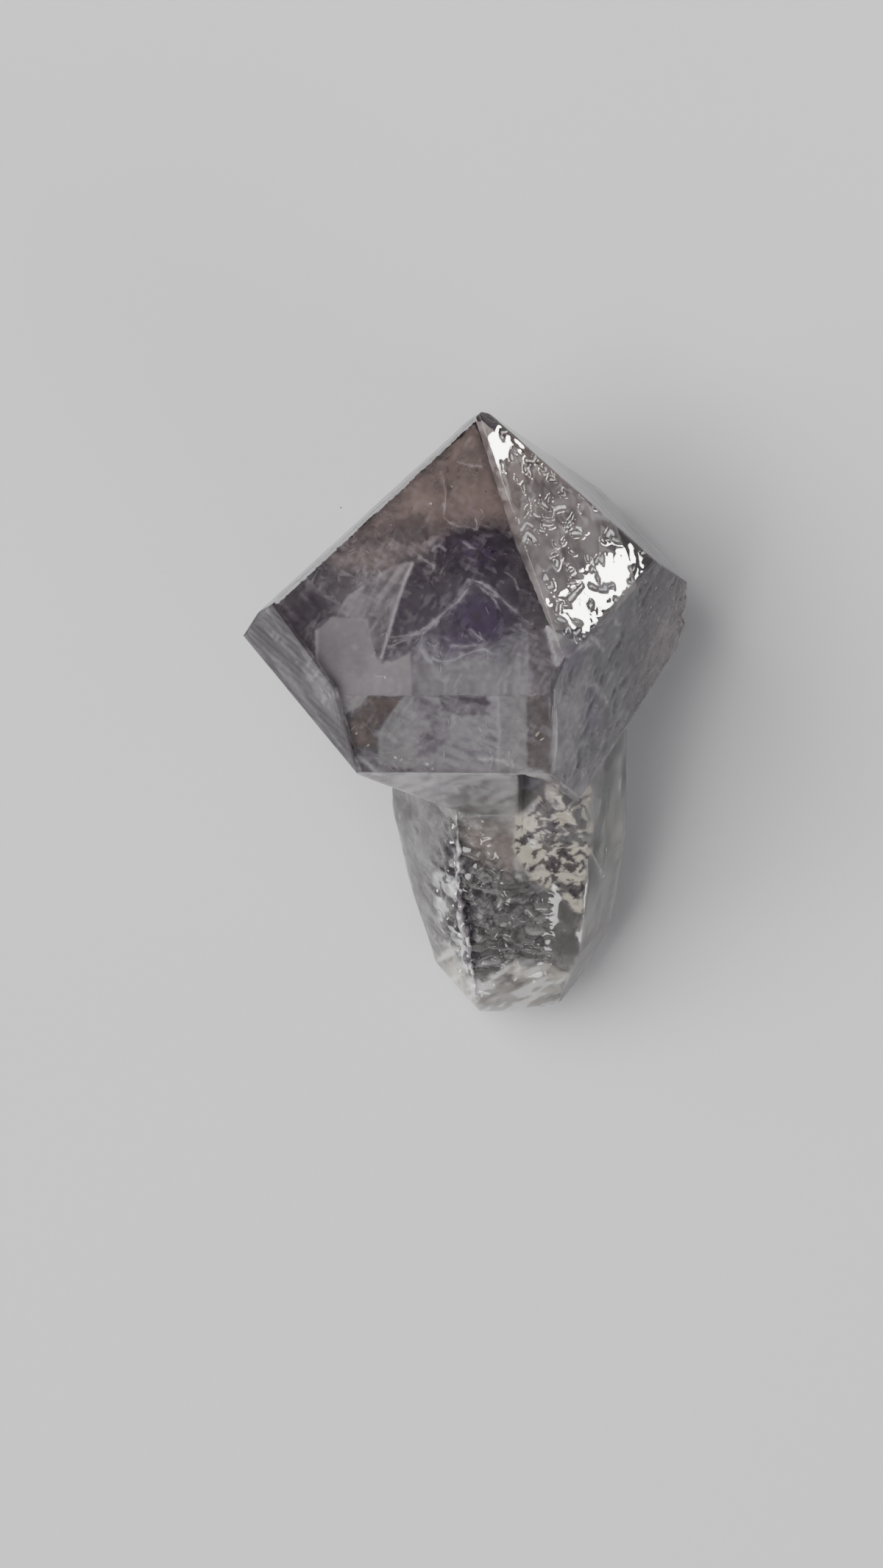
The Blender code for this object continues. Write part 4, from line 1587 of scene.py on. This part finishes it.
def fleckTree(name, material):
    # a flattened bead at every point, turned at random
    tree, given, result = groupOf(name, ["Size"], ["Seed"])
    nodes, links = tree.nodes, tree.links
    bead = nodes.new("GeometryNodeMeshIcoSphere")
    bead.inputs["Subdivisions"].default_value = 1
    spin = nodes.new("FunctionNodeRandomValue")
    spin.data_type = "FLOAT_VECTOR"
    spin.inputs["Max"].default_value = (6.3, 6.3, 6.3)
    flat = nodes.new("FunctionNodeRandomValue")
    flat.data_type = "FLOAT_VECTOR"
    setInputs(flat, {"Min": flecks["flattest"], "Max": flecks["roundest"]})
    grow = nodes.new("ShaderNodeVectorMath")
    grow.operation = "SCALE"
    place = nodes.new("GeometryNodeInstanceOnPoints")
    links.new(given.outputs["Geometry"], place.inputs["Points"])
    links.new(given.outputs["Size"], bead.inputs["Radius"])
    links.new(bead.outputs["Mesh"], place.inputs["Instance"])
    links.new(given.outputs["Seed"], spin.inputs["Seed"])
    links.new(given.outputs["Seed"], flat.inputs["Seed"])
    links.new(flat.outputs["Value"], grow.inputs[0])
    links.new(girthNode(tree), grow.inputs["Scale"])
    links.new(spin.outputs["Value"], place.inputs["Rotation"])
    links.new(grow.outputs["Vector"], place.inputs["Scale"])
    finishTree(tree, place.outputs["Instances"], result, material)
    return tree


def drawnFleck(at, size):
    face = "prismRight" if at[0] > flecks["rightFrom"] else faceUnder(at)
    return onPlane(face, np.array(at), flecks["frontDepth"] if face == "front" else flecks["sideDepth"]), size


def makeFlecks():
    rng = np.random.default_rng(flecks["seed"])
    groups = {color: [drawnFleck(*fleck) for fleck in found] for color, found in flecks["drawn"].items()}
    while len(groups["white"]) < flecks["whiteCount"]:
        at = np.array([rng.uniform(-7.0, 6.0), rng.uniform(1.5, 11.0)])
        p = onPlane("front", at, rng.uniform(0.5, 7.0))
        if sealedIn(p, flecks["margin"]):
            groups["white"].append((p, rng.uniform(0.25, 0.8)))
    for i, (color, found) in enumerate(groups.items()):
        name = "flecks_" + color
        finish = whiteMaterial(name + "_finish", (*veilColors[color], 1.0), flecks["alpha"])
        values = {"Size": flecks["size"] * mm, "Seed": i + 3}
        tree = fleckTree(name + "_tree", finish)
        grownPiece(name, [p * mm for p, _ in found], [], [size for _, size in found], tree, values)


makeFlecks()
print("growth zones done")

studio = {
    "floorColor": (0.53, 0.53, 0.54, 1.0),
    "floorRoughness": 0.8,
    "floorSize": 3.0,
    "floorDrop": 0.00002,
    "skyLean": (-0.93, 0.20, 0.30),  # the sky is brightest this way, so the front face mirrors little of it
    "brightSky": (1.0, 0.99, 0.985, 1.0),
    "darkSky": (0.26, 0.26, 0.27, 1.0),
    "skyRange": (0.35, 0.95),
    "worldStrength": 0.75,
    "lamps": [  # name, place, height of what it shines at, size and brightness
        ("key", (-0.30, 0.22, 0.55), 0.005, (0.50, 0.50), 7.4),
        ("fill", (0.45, -0.35, 0.40), 0.005, (0.45, 0.45), 1.6),
        ("right_strip", (0.50, 0.16, 0.045), 0.008, (0.14, 0.035), 14.0),
        ("stem_strip", (-0.07, -0.50, 0.10), 0.006, (0.10, 0.06), 7.0),
        ("stem_side", (-0.45, -0.16, 0.07), 0.005, (0.12, 0.10), 22.0),
    ],
    "glints": [  # name, place in the front view (mm) and size (mm)
        ("glint_tip", (0.20, 0.88), (1.1, 2.5)),
        ("glint_corner", (4.34, 4.68), (1.2, 2.0)),
        ("glint_low", (3.31, 5.74), (1.5, 0.8)),
    ],
    "glintDistance": 42.0,  # mm from the right-hand face to the small lights it mirrors
    "glintGlow": 70.0,
    "glintColor": (1.0, 1.0, 0.93),
    "cameraDistance": 1.0,
    "frameHeight": 0.04797,  # metres from top to bottom of the view, at the front face
    "frameCentre": (-1.01, 11.23),  # mm to the right of the tip and below it
}


def makeFloor():
    bm = bmesh.new()
    bmesh.ops.create_grid(bm, x_segments=1, y_segments=1, size=studio["floorSize"] / 2)
    bmesh.ops.translate(bm, verts=bm.verts, vec=(0, 0, -studio["floorDrop"]))
    floor = bmeshPiece("floor", bm)
    mat, _, shader = newMaterial("floor")
    setInputs(shader, {"Base Color": studio["floorColor"], "Roughness": studio["floorRoughness"]})
    floor.data.materials.append(mat)


def makeSky():
    world = bpy.data.worlds.new("studio")
    bpy.context.scene.world = world
    world.use_nodes = True
    nodes, links = world.node_tree.nodes, world.node_tree.links
    sky = nodes["Background"]
    sky.inputs["Strength"].default_value = studio["worldStrength"]
    way = nodes.new("ShaderNodeTexCoord")
    lean = nodes.new("ShaderNodeVectorMath")
    lean.operation = "DOT_PRODUCT"
    lean.inputs[1].default_value = studio["skyLean"]
    ramp = nodes.new("ShaderNodeValToRGB")
    dark, bright = ramp.color_ramp.elements
    dark.position, bright.position = studio["skyRange"]
    dark.color = studio["darkSky"]
    bright.color = studio["brightSky"]
    links.new(way.outputs["Generated"], lean.inputs[0])
    links.new(lean.outputs["Value"], ramp.inputs["Fac"])
    links.new(ramp.outputs["Color"], sky.inputs["Color"])


def lamp(name, place, aim, size, glow, color=(1.0, 1.0, 1.0)):
    # a soft light of this size (m) and brightness, not seen itself
    data = bpy.data.lights.new(name, "AREA")
    data.shape = "RECTANGLE"
    data.size, data.size_y = size
    data.energy = glow * math.pi * size[0] * size[1]
    data.color = color
    light = newPiece(name, data)
    light.location = place
    light.rotation_euler = (Vector(aim) - Vector(place)).to_track_quat("-Z", "Y").to_euler()
    light.visible_camera = False


def mirrored(face, at, distance):
    # where a light has to be for a face to mirror it at this place of the front view, and the place itself
    normal, _ = headPlanes[face]
    start = onPlane(face, np.array(at), 0.0)
    way = 2 * float(outWay @ normal) * normal - outWay
    return Vector((start + way * distance) * mm), Vector(start * mm)


def makeLights():
    for name, place, height, size, glow in studio["lamps"]:
        lamp(name, place, (0, 0, height), size, glow)
    for name, at, size in studio["glints"]:
        place, aim = mirrored("right", at, studio["glintDistance"])
        lamp(name, place, aim, (size[0] * mm, size[1] * mm), studio["glintGlow"], studio["glintColor"])


def makeCamera():
    data = bpy.data.cameras.new("camera")
    data.sensor_fit = "VERTICAL"
    data.sensor_height = 24.0
    data.lens = data.sensor_height * studio["cameraDistance"] / studio["frameHeight"]
    data.clip_start = 0.01
    camera = newPiece("camera", data)
    centre = spot(*studio["frameCentre"], 0.0)
    turned = Matrix((viewRight, -viewDown, viewOut)).transposed()
    camera.matrix_world = Matrix.Translation(centre + viewOut * studio["cameraDistance"]) @ turned.to_4x4()
    bpy.context.scene.camera = camera


makeFloor()
makeSky()
makeLights()
makeCamera()
print("studio done")
scene = bpy.context.scene
scene.view_settings.look = "AgX - Medium High Contrast"
scene.cycles.max_bounces = 24
scene.cycles.transmission_bounces = 24
scene.cycles.glossy_bounces = 12
scene.cycles.transparent_max_bounces = 40
